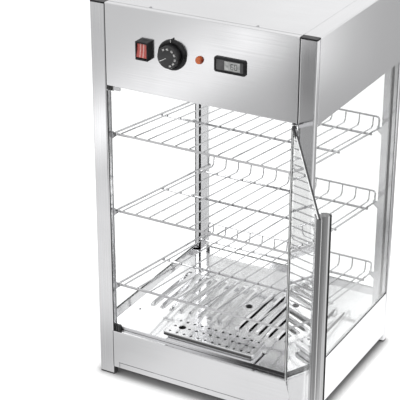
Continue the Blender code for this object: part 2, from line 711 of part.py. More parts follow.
def add_water_tray(inner_steel):
    centre = (TRAY_OFFSET, FRONT + TRAY_FROM_FRONT + TRAY_DEPTH / 2)
    seat = DECK_TOP + GAP
    pan_top = seat + PAN_HEIGHT

    def tray_loop(inset, height):
        size = (TRAY_WIDTH - 2 * inset, TRAY_DEPTH - 2 * inset)
        return raised(rounded_rectangle(*size, TRAY_RADIUS, centre), height)

    pan_edge = SHEET + PAN_FIT
    pan_foot = pan_edge + PAN_TAPER
    loops = [tray_loop(pan_foot + SHEET, seat + SHEET), tray_loop(pan_edge + SHEET, pan_top)]
    loops += [tray_loop(pan_edge, pan_top), tray_loop(pan_foot, seat)]
    loft("water_pan", loops, inner_steel)

    under = pan_top + GAP
    loops = [tray_loop(SHEET, under), tray_loop(SHEET, under - LID_RIM), tray_loop(0, under - LID_RIM)]
    loops += [tray_loop(0, under + SHEET - LID_EDGE), tray_loop(LID_EDGE, under + SHEET)]
    lid = loft("tray_lid", loops, inner_steel)
    cuts = []
    for row in range(HOLE_ROWS):
        for column in range(HOLE_COLUMNS):
            x = centre[0] + (column - (HOLE_COLUMNS - 1) / 2) * HOLE_PITCH_X
            y = centre[1] + (row - (HOLE_ROWS - 1) / 2) * HOLE_PITCH_Y
            finger = (row, column) == (HOLE_ROWS // 2, FINGER_COLUMN)
            cuts.append(circle((x, y), FINGER_RADIUS, 16) if finger else circle((x, y), HOLE_RADIUS, 6))
    boolean(lid, extrude("lid_holes", cuts, "Z", under - OVERRUN, under + SHEET + OVERRUN, inner_steel))


def add_tube(bm, path, radius, side, sides=RAIL_SIDES):
    """A closed wire round a flat path. Side is the unit vector across the plane of the path."""
    path = [Vector(point) for point in path]
    runs = [(b - a).normalized() for a, b in zip(path, path[1:])]
    loops = []
    for place, before, after in zip(path, [runs[0]] + runs, runs + [runs[-1]]):
        along = (before + after).normalized()
        up = along.cross(side)
        turns = [2 * math.pi * i / sides for i in range(sides)]
        loops.append([place + radius * (math.cos(t) * side + math.sin(t) * up) for t in turns])
    skin(bm, loops)


def rod_height(shelf, y):
    """Height of a shelf's wires and side rods at a place along Y."""
    front = LOWEST_SHELF + shelf * SHELF_PITCH
    return front - (y - FRONT - FRONT_RAIL) * math.tan(SHELF_TILT)


def add_shelves(chrome):
    """Each shelf is built level, from its front rail at the origin, and then tilted down to the back."""
    across, along = Vector((1, 0, 0)), Vector((0, 1, 0))
    run = 1 / math.cos(SHELF_TILT)
    wires = bmesh.new()
    fence_y = (CASE_DEPTH - FENCE_FROM_BACK - FRONT_RAIL) * run
    base_y = fence_y - BASE_RAIL_FROM_FENCE
    span = 2 * (ROD_X - WIRE_INSET)
    for i in range(WIRE_COUNT):
        x = (i / (WIRE_COUNT - 1) - 1 / 2) * span
        corners = [(x, -WIRE_TIP, 0), (x, fence_y, 0), (x, fence_y, FENCE_HEIGHT)]
        add_tube(wires, rounded_path(corners, WIRE_BEND, BEND_STEPS), WIRE_RADIUS, across, WIRE_SIDES)
    front_end = (POST_DEPTH + GAP - ROD_OVERHANG - FRONT_RAIL) * run
    back_end = (CASE_DEPTH - POST_DEPTH - GAP + ROD_OVERHANG - FRONT_RAIL) * run
    for x in (-ROD_X, ROD_X):
        add_tube(wires, [(x, front_end, 0), (x, back_end, 0)], ROD_RADIUS, across)

    rails = bmesh.new()
    drop = -(WIRE_RADIUS + RAIL_RADIUS - WELD_DEPTH)
    reach = ROD_X + ROD_RADIUS
    for y in (0, fence_y * MIDDLE_RAIL_SHARE, base_y):
        add_tube(rails, [(-reach, y, drop), (reach, y, drop)], RAIL_RADIUS, along)
    fence = [(-ROD_X, 0), (-ROD_X, FENCE_HEIGHT), (ROD_X, FENCE_HEIGHT), (ROD_X, 0)]
    corners = [(x, fence_y, z) for x, z in fence]
    add_tube(rails, rounded_path(corners, WIRE_BEND, FOLD_STEPS), ROD_RADIUS, along)

    frame = add_shape("shelf_wires", wires, chrome)
    boolean(frame, add_shape("shelf_rails", rails, chrome), "UNION")
    mesh = baked_mesh(frame)
    frame.modifiers.clear()
    frame.hide_render = True
    frame.display_type = "WIRE"
    for number in range(SHELF_COUNT):
        shelf = add_mesh(f"shelf_{number + 1}", mesh, chrome)
        shelf.location = (0, FRONT + FRONT_RAIL, LOWEST_SHELF + number * SHELF_PITCH)
        shelf.rotation_euler = (-SHELF_TILT, 0, 0)


def hook_strip_outline(y):
    """A strip in the plane of the front, with a hook under each shelf's side rod, for the left posts."""
    inner = -POST_INNER
    top, bottom = HEAD_EDGE - GAP, DECK_TOP + GAP
    cradle = (ROD_RADIUS + HOOK_CLEARANCE) / math.cos(SHELF_TILT)
    axis = -ROD_X
    edge = [(inner - STRIP_WIDTH, top), (inner - STRIP_WIDTH, bottom), (inner, bottom)]
    for shelf in range(SHELF_COUNT):
        z = rod_height(shelf, y)
        tip = axis + cradle + HOOK_WALL
        edge += [(inner, z - HOOK_ROOT), (tip - HOOK_WALL / 2, z - cradle - HOOK_WALL), (tip, z - cradle)]
        edge += [(tip, z + HOOK_RISE), (axis + cradle, z + HOOK_RISE)]
        edge += arc((axis, z), cradle, 0, -180, FOLD_STEPS * 2)
        edge += [(axis - cradle, z + HOOK_RISE), (inner, z + HOOK_RISE)]
    return edge + [(inner, top)]


def add_hook_strips(steel):
    front = (BAY_FRONT, BAY_FRONT + STRIP_THICKNESS)
    rear = (BAY_BACK - STRIP_THICKNESS, BAY_BACK)
    for end, ends in (("front", front), ("rear", rear)):
        outline = hook_strip_outline(sum(ends) / 2)
        for side, sign in (("left", 1), ("right", -1)):
            mirrored = [(sign * x, z) for x, z in outline]
            extrude(f"hook_strip_{end}_{side}", [mirrored], "Y", *ends, steel)


def hinge_plate_outline():
    """A tongue round the door's axis that runs back over the sill or under the head."""
    tongue = arc((PIVOT_X, PIVOT_Y), PLATE_HALF, 180, 360, SLOT_STEPS * 2)
    back = FRONT + HINGE_PLATE_DEPTH
    return tongue + [(PIVOT_X + PLATE_HALF, back), (PIVOT_X - PLATE_HALF, back)]


def add_hinge_plates(black):
    hole = circle((PIVOT_X, PIVOT_Y), PIN_RADIUS + PIN_CLEARANCE, 16)
    bottoms = (("bottom", SILL_HEIGHT + GAP), ("top", HEAD_EDGE - GAP - HINGE_PLATE))
    for name, z in bottoms:
        plate = extrude(f"hinge_plate_{name}", [hinge_plate_outline()], "Z", z, z + HINGE_PLATE, black)
        drill = extrude(f"hinge_hole_{name}", [hole], "Z", z - OVERRUN, z + HINGE_PLATE + OVERRUN, black)
        boolean(plate, drill)


def add_door(glass, aluminium, black, bright):
    """The door hangs on an empty on its axis. It is built shut, reaching along -X, and swung open."""
    axis = bpy.data.objects.new("door_axis", None)
    bpy.context.collection.objects.link(axis)
    axis.location = (PIVOT_X, PIVOT_Y, 0)
    axis.rotation_euler = (0, 0, DOOR_OPEN)

    glass_end = HANDLE_WALL + GAP - DOOR_REACH
    low = (glass_end, -DOOR_GLASS / 2, DOOR_BOTTOM)
    pane = box("door_glass", low, (GLASS_PAST_PIVOT, DOOR_GLASS / 2, DOOR_TOP), glass)

    free = -DOOR_REACH
    grip = GRIP_WIDTH / 2
    grip_x = free + GRIP_SET_BACK + grip
    grip_y = -HALF_HANDLE - GRIP_PROUD + grip
    groove = -HALF_HANDLE - GRIP_GROOVE
    near_corner = (free + HANDLE_CORNER, HALF_HANDLE - HANDLE_CORNER)
    far_corner = (free + HANDLE_CORNER, HANDLE_CORNER - HALF_HANDLE)
    profile = [(free + HANDLE_CHANNEL, HALF_GLASS_SLOT), (free + HANDLE_CHANNEL, HALF_HANDLE)]
    profile += arc(near_corner, HANDLE_CORNER, 90, 180, FOLD_STEPS)
    profile += arc(far_corner, HANDLE_CORNER, 180, 270, FOLD_STEPS)
    near, far = grip_x - GRIP_NECK / 2, grip_x + GRIP_NECK / 2
    profile += [(near, -HALF_HANDLE), (near, groove), (grip_x - grip, groove)]
    profile += arc((grip_x, grip_y), grip, 180, 360, SLOT_STEPS * 2)
    profile += [(grip_x + grip, groove), (far, groove), (far, -HALF_HANDLE)]
    profile += [(free + HANDLE_CHANNEL, -HALF_HANDLE), (free + HANDLE_CHANNEL, -HALF_GLASS_SLOT)]
    profile += [(free + HANDLE_WALL, -HALF_GLASS_SLOT), (free + HANDLE_WALL, HALF_GLASS_SLOT)]
    handle = extrude("door_handle", [profile], "Z", DOOR_BOTTOM, DOOR_TOP, aluminium)

    half = HALF_GLASS_SLOT + CLAMP_SIDE
    shoe = [(0, -half), (0, half), (-CLAMP_LENGTH, half), (-CLAMP_LENGTH, -half)]
    clamp = extrude("door_clamp_top", [shoe], "Z", CLAMP_TOP - CLAMP_HEIGHT, CLAMP_TOP, black)
    boss_top = CLAMP_TOP - CLAMP_END / 4
    boss = circle((0, 0), CLAMP_BOSS_RADIUS, 16)
    raised = extrude("clamp_boss", [boss], "Z", CLAMP_TOP - CLAMP_BOSS_HEIGHT, boss_top, black)
    boolean(clamp, raised, "UNION")
    pin_top = CLAMP_TOP + GAP + HINGE_PLATE
    pin = circle((0, 0), PIN_RADIUS, 16)
    boolean(clamp, extrude("clamp_pin", [pin], "Z", CLAMP_TOP - CLAMP_END / 2, pin_top, black), "UNION")
    low = (-CLAMP_LENGTH - OVERRUN, -HALF_GLASS_SLOT, CLAMP_TOP - CLAMP_BOSS_HEIGHT - OVERRUN)
    high = (GLASS_PAST_PIVOT + GAP, HALF_GLASS_SLOT, CLAMP_TOP - CLAMP_END)
    boolean(clamp, box("clamp_slot", low, high, black))
    mesh = baked_mesh(clamp)
    clamp.modifiers.clear()
    clamp.data = mesh
    other = add_mesh("door_clamp_bottom", mesh.copy(), black)
    other.data.materials[0] = bright
    other.rotation_euler = (math.pi, 0, 0)
    other.location = (0, 0, CLAMP_TOP + CLAMP_BOTTOM)
    for piece in (pane, handle, clamp, other):
        piece.parent = axis


def add_catches(black, steel):
    left, front = -PANEL_END, FRONT + CATCH_FROM_FRONT
    right, back = left + CATCH_WIDTH, front + CATCH_DEPTH
    outline = [(left, front)]
    for i in range(CATCH_GROOVES):
        middle = left + CATCH_WIDTH * (i + 1) / (CATCH_GROOVES + 1)
        near, far = middle - GROOVE_WIDTH / 2, middle + GROOVE_WIDTH / 2
        outline += [(near, front), (near, front + GROOVE_DEPTH), (far, front + GROOVE_DEPTH), (far, front)]
    outline += [(right, front), (right, back), (left, back)]
    ceiling = HEAD_EDGE - GAP
    extrude("magnet_catch_top", [outline], "Z", ceiling - CATCH_HEIGHT, ceiling, black)
    extrude("magnet_catch_bottom", [outline], "Z", SILL_HEIGHT + GAP, SILL_HEIGHT + GAP + CATCH_HEIGHT, black)

    near = right + GAP
    far = near + CATCH_PLATE_LENGTH
    low = ceiling - CATCH_PLATE_HEIGHT
    radius = CATCH_PLATE_RADIUS
    plate = [(near, ceiling), (near, low)] + arc((far - radius, low + radius), radius, 270, 360, ARC_STEPS)
    plate += arc((far - radius, ceiling - radius), radius, 0, 90, ARC_STEPS)
    extrude("catch_plate_top", [plate], "Y", front, front + CATCH_PLATE_THICKNESS, steel)


def add_rocker_switch(black, red):
    centre = (ROCKER_X, CONTROL_LINE)
    body = rounded_rectangle(ROCKER_BODY_WIDTH, ROCKER_BODY_HEIGHT, ROCKER_CORNER, centre)
    bezel = rounded_rectangle(ROCKER_WIDTH, ROCKER_HEIGHT, ROCKER_CORNER, centre)
    size = (ROCKER_WIDTH - ROCKER_CORNER, ROCKER_HEIGHT - ROCKER_CORNER, ROCKER_CORNER)
    crown = rounded_rectangle(*size, centre)
    cavity = rounded_rectangle(ROCKER_CAVITY_WIDTH, ROCKER_CAVITY_HEIGHT, ROCKER_CORNER, centre)
    seat = FRONT - GAP
    face = seat - ROCKER_PROUD
    loops = [upright(body, FRONT + ROCKER_BODY_DEPTH), upright(body, seat), upright(bezel, seat)]
    loops += [upright(bezel, face + ROCKER_CORNER / 2), upright(crown, face)]
    loops += [upright(cavity, face), upright(cavity, face + ROCKER_CAVITY_DEPTH)]
    loft("rocker_housing", loops, black)

    # The button's own section, forward distance and height about its pivot
    front = BUTTON_FRONT - BUTTON_PIVOT
    upper = [(front, BUTTON_HALF_HEIGHT), (BUTTON_WAIST - BUTTON_PIVOT, BUTTON_HALF_HEIGHT)]
    upper += [(BUTTON_HEEL - BUTTON_PIVOT, BUTTON_HEEL_HALF)]
    section = [(front - BUTTON_VALLEY, 0)] + upper + [(p, -z) for p, z in reversed(upper)]
    half = ROCKER_CAVITY_WIDTH / 2 - GAP
    outline = [(-p, z) for p, z in section]
    button = extrude("rocker_button", [outline], "X", -half, half, red)
    button.location = (ROCKER_X, FRONT - BUTTON_PIVOT, CONTROL_LINE)
    button.rotation_euler = (-BUTTON_TILT, 0, 0)


def add_thermostat(black, grey):
    centre = (KNOB_X, CONTROL_LINE)

    def turned(rings, name, material, ring=False, steps=FINE_STEPS):
        return loft(name, [upright(circle(centre, r, steps), FRONT - p) for r, p in rings], material, ring)

    rings = [
        (DIAL_BORE, GAP),
        (DIAL_RADIUS, GAP),
        (DIAL_RADIUS, DIAL_SHOULDER),
        (DIAL_CREST_OUTER, DIAL_RIM),
        (DIAL_CREST_INNER, DIAL_RIM),
        (DIAL_WELL, DIAL_BASE),
        (DIAL_BORE, DIAL_BASE),
    ]
    dial = turned(rings, "dial_ring", black, ring=True)
    x, z = centre
    left, right = x - NIB_WIDTH / 2, x + NIB_WIDTH / 2
    nib = [(left, z + NIB_ROOT), (right, z + NIB_ROOT), (right, z + DIAL_RADIUS)]
    nib += [(x, z + NIB_TIP), (x - NIB_WIDTH / 2, z + DIAL_RADIUS)]
    raised = extrude("dial_nib", [nib], "Y", FRONT - NIB_HEIGHT, FRONT - GAP - NIB_WIDTH / 4, black)
    boolean(dial, raised, "UNION")

    knob_rings = [
        (SHAFT_RADIUS + SHAFT_CLEARANCE, KNOB_BACK + KNOB_BORE_DEPTH),
        (SHAFT_RADIUS + SHAFT_CLEARANCE, KNOB_BACK),
        (KNOB_RADIUS, KNOB_BACK),
        (KNOB_RADIUS, KNOB_FRONT - KNOB_EDGE),
        (KNOB_RADIUS - KNOB_EDGE, KNOB_FRONT),
    ]
    knob = turned(knob_rings, "thermostat_knob", black)
    towards = Vector((math.cos(POINTER_ANGLE), math.sin(POINTER_ANGLE)))
    beside = Vector((-towards.y, towards.x)) * (POINTER_WIDTH / 2)
    ends = [towards * POINTER_START, towards * POINTER_END]
    groove = [ends[0] + beside, ends[1] + beside, ends[1] - beside, ends[0] - beside]
    groove = [(x + point.x, z + point.y) for point in groove]
    floor = FRONT - KNOB_FRONT + POINTER_DEPTH
    boolean(knob, extrude("knob_pointer", [groove], "Y", FRONT - KNOB_FRONT - OVERRUN, floor, black))

    body_front = FRONT + SHEET + GAP
    tip = KNOB_BACK + KNOB_BORE_DEPTH - GAP
    rings = [(SHAFT_RADIUS, tip), (SHAFT_RADIUS, FRONT - body_front - SHAFT_SOCKET + GAP)]
    turned(rings, "thermostat_shaft", grey, steps=16)
    low = (x - THERMOSTAT_WIDTH / 2, body_front, z - THERMOSTAT_HEIGHT / 2)
    high = (x + THERMOSTAT_WIDTH / 2, body_front + THERMOSTAT_DEPTH, z + THERMOSTAT_HEIGHT / 2)
    body = box("thermostat_body", low, high, grey)
    socket = circle(centre, SHAFT_RADIUS + SHAFT_CLEARANCE, 16)
    low, high = body_front - OVERRUN, body_front + SHAFT_SOCKET
    boolean(body, extrude("shaft_socket", [socket], "Y", low, high, grey))


def add_pilot_lamp(orange):
    centre = (LAMP_X, CONTROL_LINE)
    rings = [
        (LAMP_BODY_RADIUS, -LAMP_BODY_DEPTH),
        (LAMP_BODY_RADIUS, GAP),
        (LAMP_COLLAR_RADIUS, GAP),
        (LAMP_COLLAR_RADIUS, LAMP_COLLAR),
        (LAMP_LENS_RADIUS, LAMP_COLLAR),
        (LAMP_LENS_RADIUS, LAMP_LENS_PROUD - LAMP_LENS_EDGE),
        (LAMP_LENS_RADIUS - LAMP_LENS_EDGE, LAMP_LENS_PROUD),
    ]
    loft("pilot_lamp", [upright(circle(centre, r, 16), FRONT - p) for r, p in rings], orange)


def add_thermometer(black, grey):
    centre = (METER_X, CONTROL_LINE)
    seat = FRONT - GAP
    face = seat - METER_PROUD
    floor = face + METER_RECESS

    def frame_loop(inset, y):
        size = (METER_WIDTH - 2 * inset, METER_HEIGHT - 2 * inset)
        return upright(rounded_rectangle(*size, METER_RADIUS - inset / 2, centre), y)

    body_radius = METER_RADIUS / 2
    body = rounded_rectangle(METER_BODY_WIDTH, METER_BODY_HEIGHT, body_radius, centre)
    loops = [upright(body, FRONT + METER_BODY_DEPTH), upright(body, seat), frame_loop(0, seat)]
    loops += [frame_loop(0, face + METER_CHAMFER), frame_loop(METER_CHAMFER, face)]
    loops += [frame_loop(METER_FRAME - METER_SLOPE, face), frame_loop(METER_FRAME, floor)]
    loft("thermometer_housing", loops, black)

    inset = METER_FRAME + GAP
    near = floor - GAP
    display = [frame_loop(inset, near), frame_loop(inset, near - DISPLAY_THICKNESS)]
    loft("thermometer_display", display, grey)


def hexagon(centre, radius, steps):
    """A hexagon drawn with as many points as a circle, so that the two can be skinned together."""
    points = []
    for i in range(steps):
        angle = 2 * math.pi * i / steps
        off_flat = angle % (math.pi / 3) - math.pi / 6
        reach = radius * math.cos(math.pi / 6) / math.cos(off_flat)
        points.append((centre[0] + reach * math.cos(angle), centre[1] + reach * math.sin(angle)))
    return points


def add_gland(black):
    """The cord gland, and the cutter for its hole in the rear base panel."""
    centre = (GLAND_X, GLAND_HEIGHT)
    hex_front = BACK + GAP
    hex_back = hex_front + GLAND_HEX_LENGTH
    dome_end = hex_back + GLAND_DOME_LENGTH
    nose_end = dome_end + GLAND_NOSE_LENGTH
    inside_end = BACK - SHEET - GLAND_INSIDE
    thread = circle(centre, GLAND_THREAD)
    loops = [upright(thread, inside_end), upright(thread, hex_front)]
    loops += [upright(hexagon(centre, GLAND_HEX, ROUND_STEPS), y) for y in (hex_front, hex_back)]
    rings = ((GLAND_DOME, hex_back), (GLAND_DOME, dome_end), (GLAND_NOSE, nose_end))
    rings += ((GLAND_BORE, nose_end), (GLAND_BORE, inside_end))
    loops += [upright(circle(centre, r), y) for r, y in rings]
    loft("cord_gland", loops, black, ring=True)
    hole = circle(centre, GLAND_THREAD + CUT_CLEARANCE)
    return extrude("gland_hole", [hole], "Y", BACK - SHEET - OVERRUN, BACK + OVERRUN, black)


def main():
    clear_scene()
    steel = make_material("brushed_steel", (0.72, 0.72, 0.72), 0.32, 1.0)
    inner_steel = make_material("bright_steel", (0.80, 0.80, 0.80), 0.18, 1.0)
    chrome = make_material("chromed_wire", (0.78, 0.78, 0.80), 0.12, 1.0)
    aluminium = make_material("dark_aluminium", (0.30, 0.30, 0.31), 0.35, 1.0)
    glass = make_material("clear_glass", (0.95, 0.97, 0.97), 0.02, alpha=0.15)
    black = make_material("black_plastic", (0.02, 0.02, 0.02), 0.45)
    red = make_material("red_button", (0.70, 0.06, 0.04), 0.25)
    orange = make_material("orange_lens", (0.85, 0.22, 0.03), 0.20)
    grey = make_material("grey_plastic", (0.35, 0.35, 0.36), 0.40)
    dark_steel = make_material("heater_steel", (0.22, 0.20, 0.19), 0.50, 1.0)
    ceramic = make_material("ceramic", (0.85, 0.83, 0.78), 0.60)

    add_posts(steel, black)
    add_glazed_panels(steel, glass, add_gland(black))
    add_base(steel)
    add_head(steel, inner_steel)
    add_deck(inner_steel, black)
    add_heater(dark_steel, ceramic, steel)
    add_water_tray(inner_steel)
    add_shelves(chrome)
    add_hook_strips(steel)
    add_hinge_plates(black)
    add_door(glass, aluminium, black, inner_steel)
    add_catches(black, steel)
    add_rocker_switch(black, red)
    add_thermostat(black, grey)
    add_pilot_lamp(orange)
    add_thermometer(black, grey)


main()
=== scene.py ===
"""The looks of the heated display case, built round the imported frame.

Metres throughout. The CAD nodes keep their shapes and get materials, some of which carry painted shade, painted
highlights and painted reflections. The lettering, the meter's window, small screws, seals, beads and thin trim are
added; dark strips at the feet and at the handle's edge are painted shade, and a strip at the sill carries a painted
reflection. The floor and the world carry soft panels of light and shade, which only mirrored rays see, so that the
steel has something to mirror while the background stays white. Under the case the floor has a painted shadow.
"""

import json
import math

import bmesh
import bpy
from mathutils import Euler, Matrix, Vector


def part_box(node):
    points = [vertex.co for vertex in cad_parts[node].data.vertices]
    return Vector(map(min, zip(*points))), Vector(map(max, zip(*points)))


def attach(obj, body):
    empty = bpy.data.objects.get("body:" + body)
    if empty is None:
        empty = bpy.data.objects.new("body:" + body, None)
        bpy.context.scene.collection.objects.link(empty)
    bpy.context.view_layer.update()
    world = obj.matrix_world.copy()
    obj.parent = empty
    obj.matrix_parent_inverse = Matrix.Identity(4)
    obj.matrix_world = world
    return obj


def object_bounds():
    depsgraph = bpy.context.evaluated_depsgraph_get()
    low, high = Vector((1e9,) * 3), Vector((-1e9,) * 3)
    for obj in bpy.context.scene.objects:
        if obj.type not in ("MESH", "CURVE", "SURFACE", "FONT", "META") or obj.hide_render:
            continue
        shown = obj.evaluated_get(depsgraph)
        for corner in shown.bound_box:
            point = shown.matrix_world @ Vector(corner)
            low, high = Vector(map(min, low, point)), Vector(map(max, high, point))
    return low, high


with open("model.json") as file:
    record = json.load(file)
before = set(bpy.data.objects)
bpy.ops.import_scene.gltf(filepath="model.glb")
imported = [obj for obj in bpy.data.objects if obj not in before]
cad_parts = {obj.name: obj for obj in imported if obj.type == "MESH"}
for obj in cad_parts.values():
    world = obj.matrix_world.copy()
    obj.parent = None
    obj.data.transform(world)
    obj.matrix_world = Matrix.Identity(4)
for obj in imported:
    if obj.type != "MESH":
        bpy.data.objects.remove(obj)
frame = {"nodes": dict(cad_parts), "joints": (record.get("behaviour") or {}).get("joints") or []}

CAD_BOX = [list(corner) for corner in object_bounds()]
NODES = frame["nodes"]
JOINTS = {joint["name"]: joint for joint in frame["joints"]}

# Lines of the case that added pieces and materials follow
FLOOR_Z = CAD_BOX[0][2]
TOP_Z = CAD_BOX[1][2]
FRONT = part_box("control_panel")[0].y
HEAD_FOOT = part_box("control_panel")[0].z
SILL_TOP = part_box("front_base_panel")[1].z
POST_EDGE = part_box("post_front_right")[0].x  # the side that faces the other post
POST_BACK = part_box("post_front_right")[1].y
CASE_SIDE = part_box("side_base_right")[1].x
BASE_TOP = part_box("side_base_right")[1].z
PANE_IN, PANE_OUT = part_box("side_glass_right")[0].x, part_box("side_glass_right")[1].x
PANE_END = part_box("side_glass_right")[1].y
REAR_PANE_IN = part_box("rear_glass")[0].y
DECK_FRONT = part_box("deck")[0].y
DECK_TOP = 0.0928  # the flat of the deck, between its louvres

# The door, from its pins along the open pane and towards its inner side
PIN_X, PIN_Y = JOINTS["door_hinge"]["pos_m"][:2]
DOOR_ANGLE = math.radians(-JOINTS["door_hinge"]["range_deg"][0])  # from shut to the photographed position
ALONG_DOOR = Vector((-math.cos(DOOR_ANGLE), -math.sin(DOOR_ANGLE)))
DOOR_INWARD = Vector((ALONG_DOOR.y, -ALONG_DOOR.x))
DOOR_FOOT, DOOR_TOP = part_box("door_glass")[0].z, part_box("door_glass")[1].z
PANE_HALF = 0.0025  # half the pane's thickness
HANDLE_OUT, HANDLE_IN = -0.0208, 0.0048  # how far the handle reaches to both sides of the pane's middle
CLAMP_CAP = 0.017  # how far the clamps' black caps reach along the pane

# The tray's lid
TRAY = (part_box("tray_lid")[0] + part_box("tray_lid")[1]) / 2
HOLE_PITCH_X, HOLE_PITCH_Y = 0.01665, 0.023
HOLES_REACH_X, HOLES_REACH_Y = 0.1005, 0.0275  # from the lid's middle

# The photograph's camera
CAMERA_PLACE = (1.3062, -2.5422, 1.6881)
CAMERA_AZIMUTH, CAMERA_TILT = math.radians(29.33), math.radians(25.34)
LENS, SENSOR = 137.0, 36.0  # millimetres
CAMERA_SHIFT = (0.0075, 0.0161)

# Light
AMBIENT = 0.45  # the world's strength for matt surfaces, where 1 is white
LAMPS = {  # place, target, size, watts
    "overhead": ((0.5, 0.5, 3.2), (0, 0, 0.2), 3.0, 75),
    "front_high": ((-1.5, -2.8, 2.8), (0, 0, 0.6), 2.4, 40),
}
# The floor's own tone, and the darker tone of the shadow painted on it under the case
FLOOR_TONE, PAINTED_SHADOW_TONE = (0.9, 0.9, 0.9, 1), (0.42, 0.42, 0.42, 1)
FLOOR_GLOW = 0.42

# Grain of rolled sheet, which is stretched along one axis
GRAIN_ACROSS, GRAIN_ALONG = 700.0, 3.0
BRUSHED_ALONG = {axis: tuple(GRAIN_ALONG if axis == own else GRAIN_ACROSS for own in "XYZ") for axis in "XYZ"}


# Camera and light

def add_camera():
    data = bpy.data.cameras.new("camera")
    data.sensor_fit = "AUTO"
    data.sensor_width = SENSOR
    data.lens = LENS
    data.shift_x, data.shift_y = CAMERA_SHIFT
    data.clip_end = 60.0
    camera = bpy.data.objects.new("camera", data)
    camera.location = CAMERA_PLACE
    camera.rotation_euler = Euler((math.pi / 2 - CAMERA_TILT, 0, CAMERA_AZIMUTH))
    bpy.context.collection.objects.link(camera)
    bpy.context.scene.camera = camera


class Nodes:
    """Short calls for the nodes of one tree."""

    def __init__(self, tree):
        self.tree = tree

    def add(self, kind, **settings):
        node = self.tree.nodes.new("ShaderNode" + kind)
        for key, value in settings.items():
            setattr(node, key, value)
        return node

    def link(self, output, socket):
        self.tree.links.new(output, socket)

    def split(self, vector):
        node = self.add("SeparateXYZ")
        self.link(vector, node.inputs[0])
        return node.outputs

    def maths(self, operation, first, second=0.0):
        node = self.add("Math", operation=operation)
        for value, socket in ((first, node.inputs[0]), (second, node.inputs[1])):
            if isinstance(value, (int, float)):
                socket.default_value = value
            else:
                self.link(value, socket)
        return node.outputs[0]

    def product(self, first, *others):
        for other in others:
            first = self.maths("MULTIPLY", first, other)
        return first

    def total(self, first, *others):
        for other in others:
            first = self.maths("ADD", first, other)
        return first

    def smooth(self, value, start, end, low=0.0, high=1.0):
        """From low to high, while the value goes from start to end."""
        if start > end:
            start, end, low, high = end, start, high, low
        node = self.add("MapRange", interpolation_type="SMOOTHSTEP")
        self.link(value, node.inputs["Value"])
        for socket, number in (("From Min", start), ("From Max", end), ("To Min", low), ("To Max", high)):
            node.inputs[socket].default_value = number
        return node.outputs[0]

    def near(self, value, centre, reach):
        """1 at the centre, falling smoothly to 0 at a distance from it."""
        away = self.maths("ABSOLUTE", self.maths("SUBTRACT", value, centre))
        return self.smooth(away, 0, reach, 1, 0)

    def seen(self, *kinds):
        """1 for a ray of any of these kinds."""
        path = self.add("LightPath")
        factor = path.outputs[kinds[0]]
        for kind in kinds[1:]:
            factor = self.maths("MAXIMUM", factor, path.outputs[kind])
        return factor

    def mirrored(self):
        """1 for a ray that a shiny face sent on, also where it went through a pane afterwards."""
        depth = self.maths("MINIMUM", self.add("LightPath").outputs["Glossy Depth"], 1.0)
        return self.product(depth, self.seen("Is Glossy Ray", "Is Transmission Ray"))


def sky_panels(sky):
    """Strength on top of white, of what level metal mirrors from the sky behind the case.

    A place there has a rise, its slope above the horizon, and a course across, which is x over y. The top cover
    mirrors the low part and the deck the high part.
    """
    steepest = 0.05  # keeps the two ratios finite
    x, y, z = sky.split(sky.add("TexCoord").outputs["Generated"])
    across = sky.maths("DIVIDE", x, sky.maths("MAXIMUM", y, steepest))
    flat = sky.maths("SQRT", sky.total(sky.product(x, x), sky.product(y, y)))
    rise = sky.maths("DIVIDE", z, sky.maths("MAXIMUM", flat, steepest))
    behind = sky.product(sky.smooth(y, 0.1, 0.4), sky.smooth(rise, 0.15, 0.25))
    ends = sky.product(sky.smooth(across, -1.1, -0.78), sky.smooth(across, 0.6, 0.2))

    high, low = sky.smooth(rise, 0.38, 0.50), sky.smooth(rise, 0.38, 0.50, 1, 0)
    low_part = sky.product(sky.smooth(across, -0.60, -0.44, 0.03, 0.20), low)
    bright_left = sky.smooth(across, -0.60, -0.55, 1.0, -0.14)
    bright_right = sky.smooth(across, -0.47, -0.43, 0, 0.26)
    streak = sky.product(sky.near(across, -0.529, 0.03), sky.smooth(rise, 0.53, 0.56), -0.62)
    front_edge = sky.smooth(rise, 0.596, 0.608, 0, -0.55)
    high_part = sky.product(sky.total(bright_left, bright_right, streak, front_edge), high)
    return sky.product(sky.total(low_part, high_part), behind, ends, sky.mirrored())


def add_world():
    """White for the eye, plain light for the shapes, and soft panels for level metal."""
    world = bpy.data.worlds.new("studio")
    bpy.context.scene.world = world
    world.use_nodes = True
    sky = Nodes(world.node_tree)
    mix = sky.add("Mix", data_type="FLOAT")
    sky.link(sky.seen("Is Glossy Ray", "Is Transmission Ray"), mix.inputs[0])
    sky.link(sky.total(sky.product(sky.seen("Is Camera Ray"), 1 - AMBIENT), AMBIENT), mix.inputs[2])
    sky.link(sky.total(sky_panels(sky), 1.0), mix.inputs[3])
    background = world.node_tree.nodes["Background"]
    sky.link(mix.outputs[0], background.inputs["Strength"])
    background.inputs["Color"].default_value = (1, 1, 1, 1)


def add_lamp(name, place, target, size, power):
    """A soft lamp that metal doesn't mirror."""
    data = bpy.data.lights.new(name, "AREA")
    data.shape = "DISK"
    data.size = size
    data.energy = power
    lamp = bpy.data.objects.new(name, data)
    lamp.location = place
    lamp.rotation_euler = (Vector(target) - Vector(place)).to_track_quat("-Z", "Y").to_euler()
    lamp.visible_glossy = False
    bpy.context.collection.objects.link(lamp)


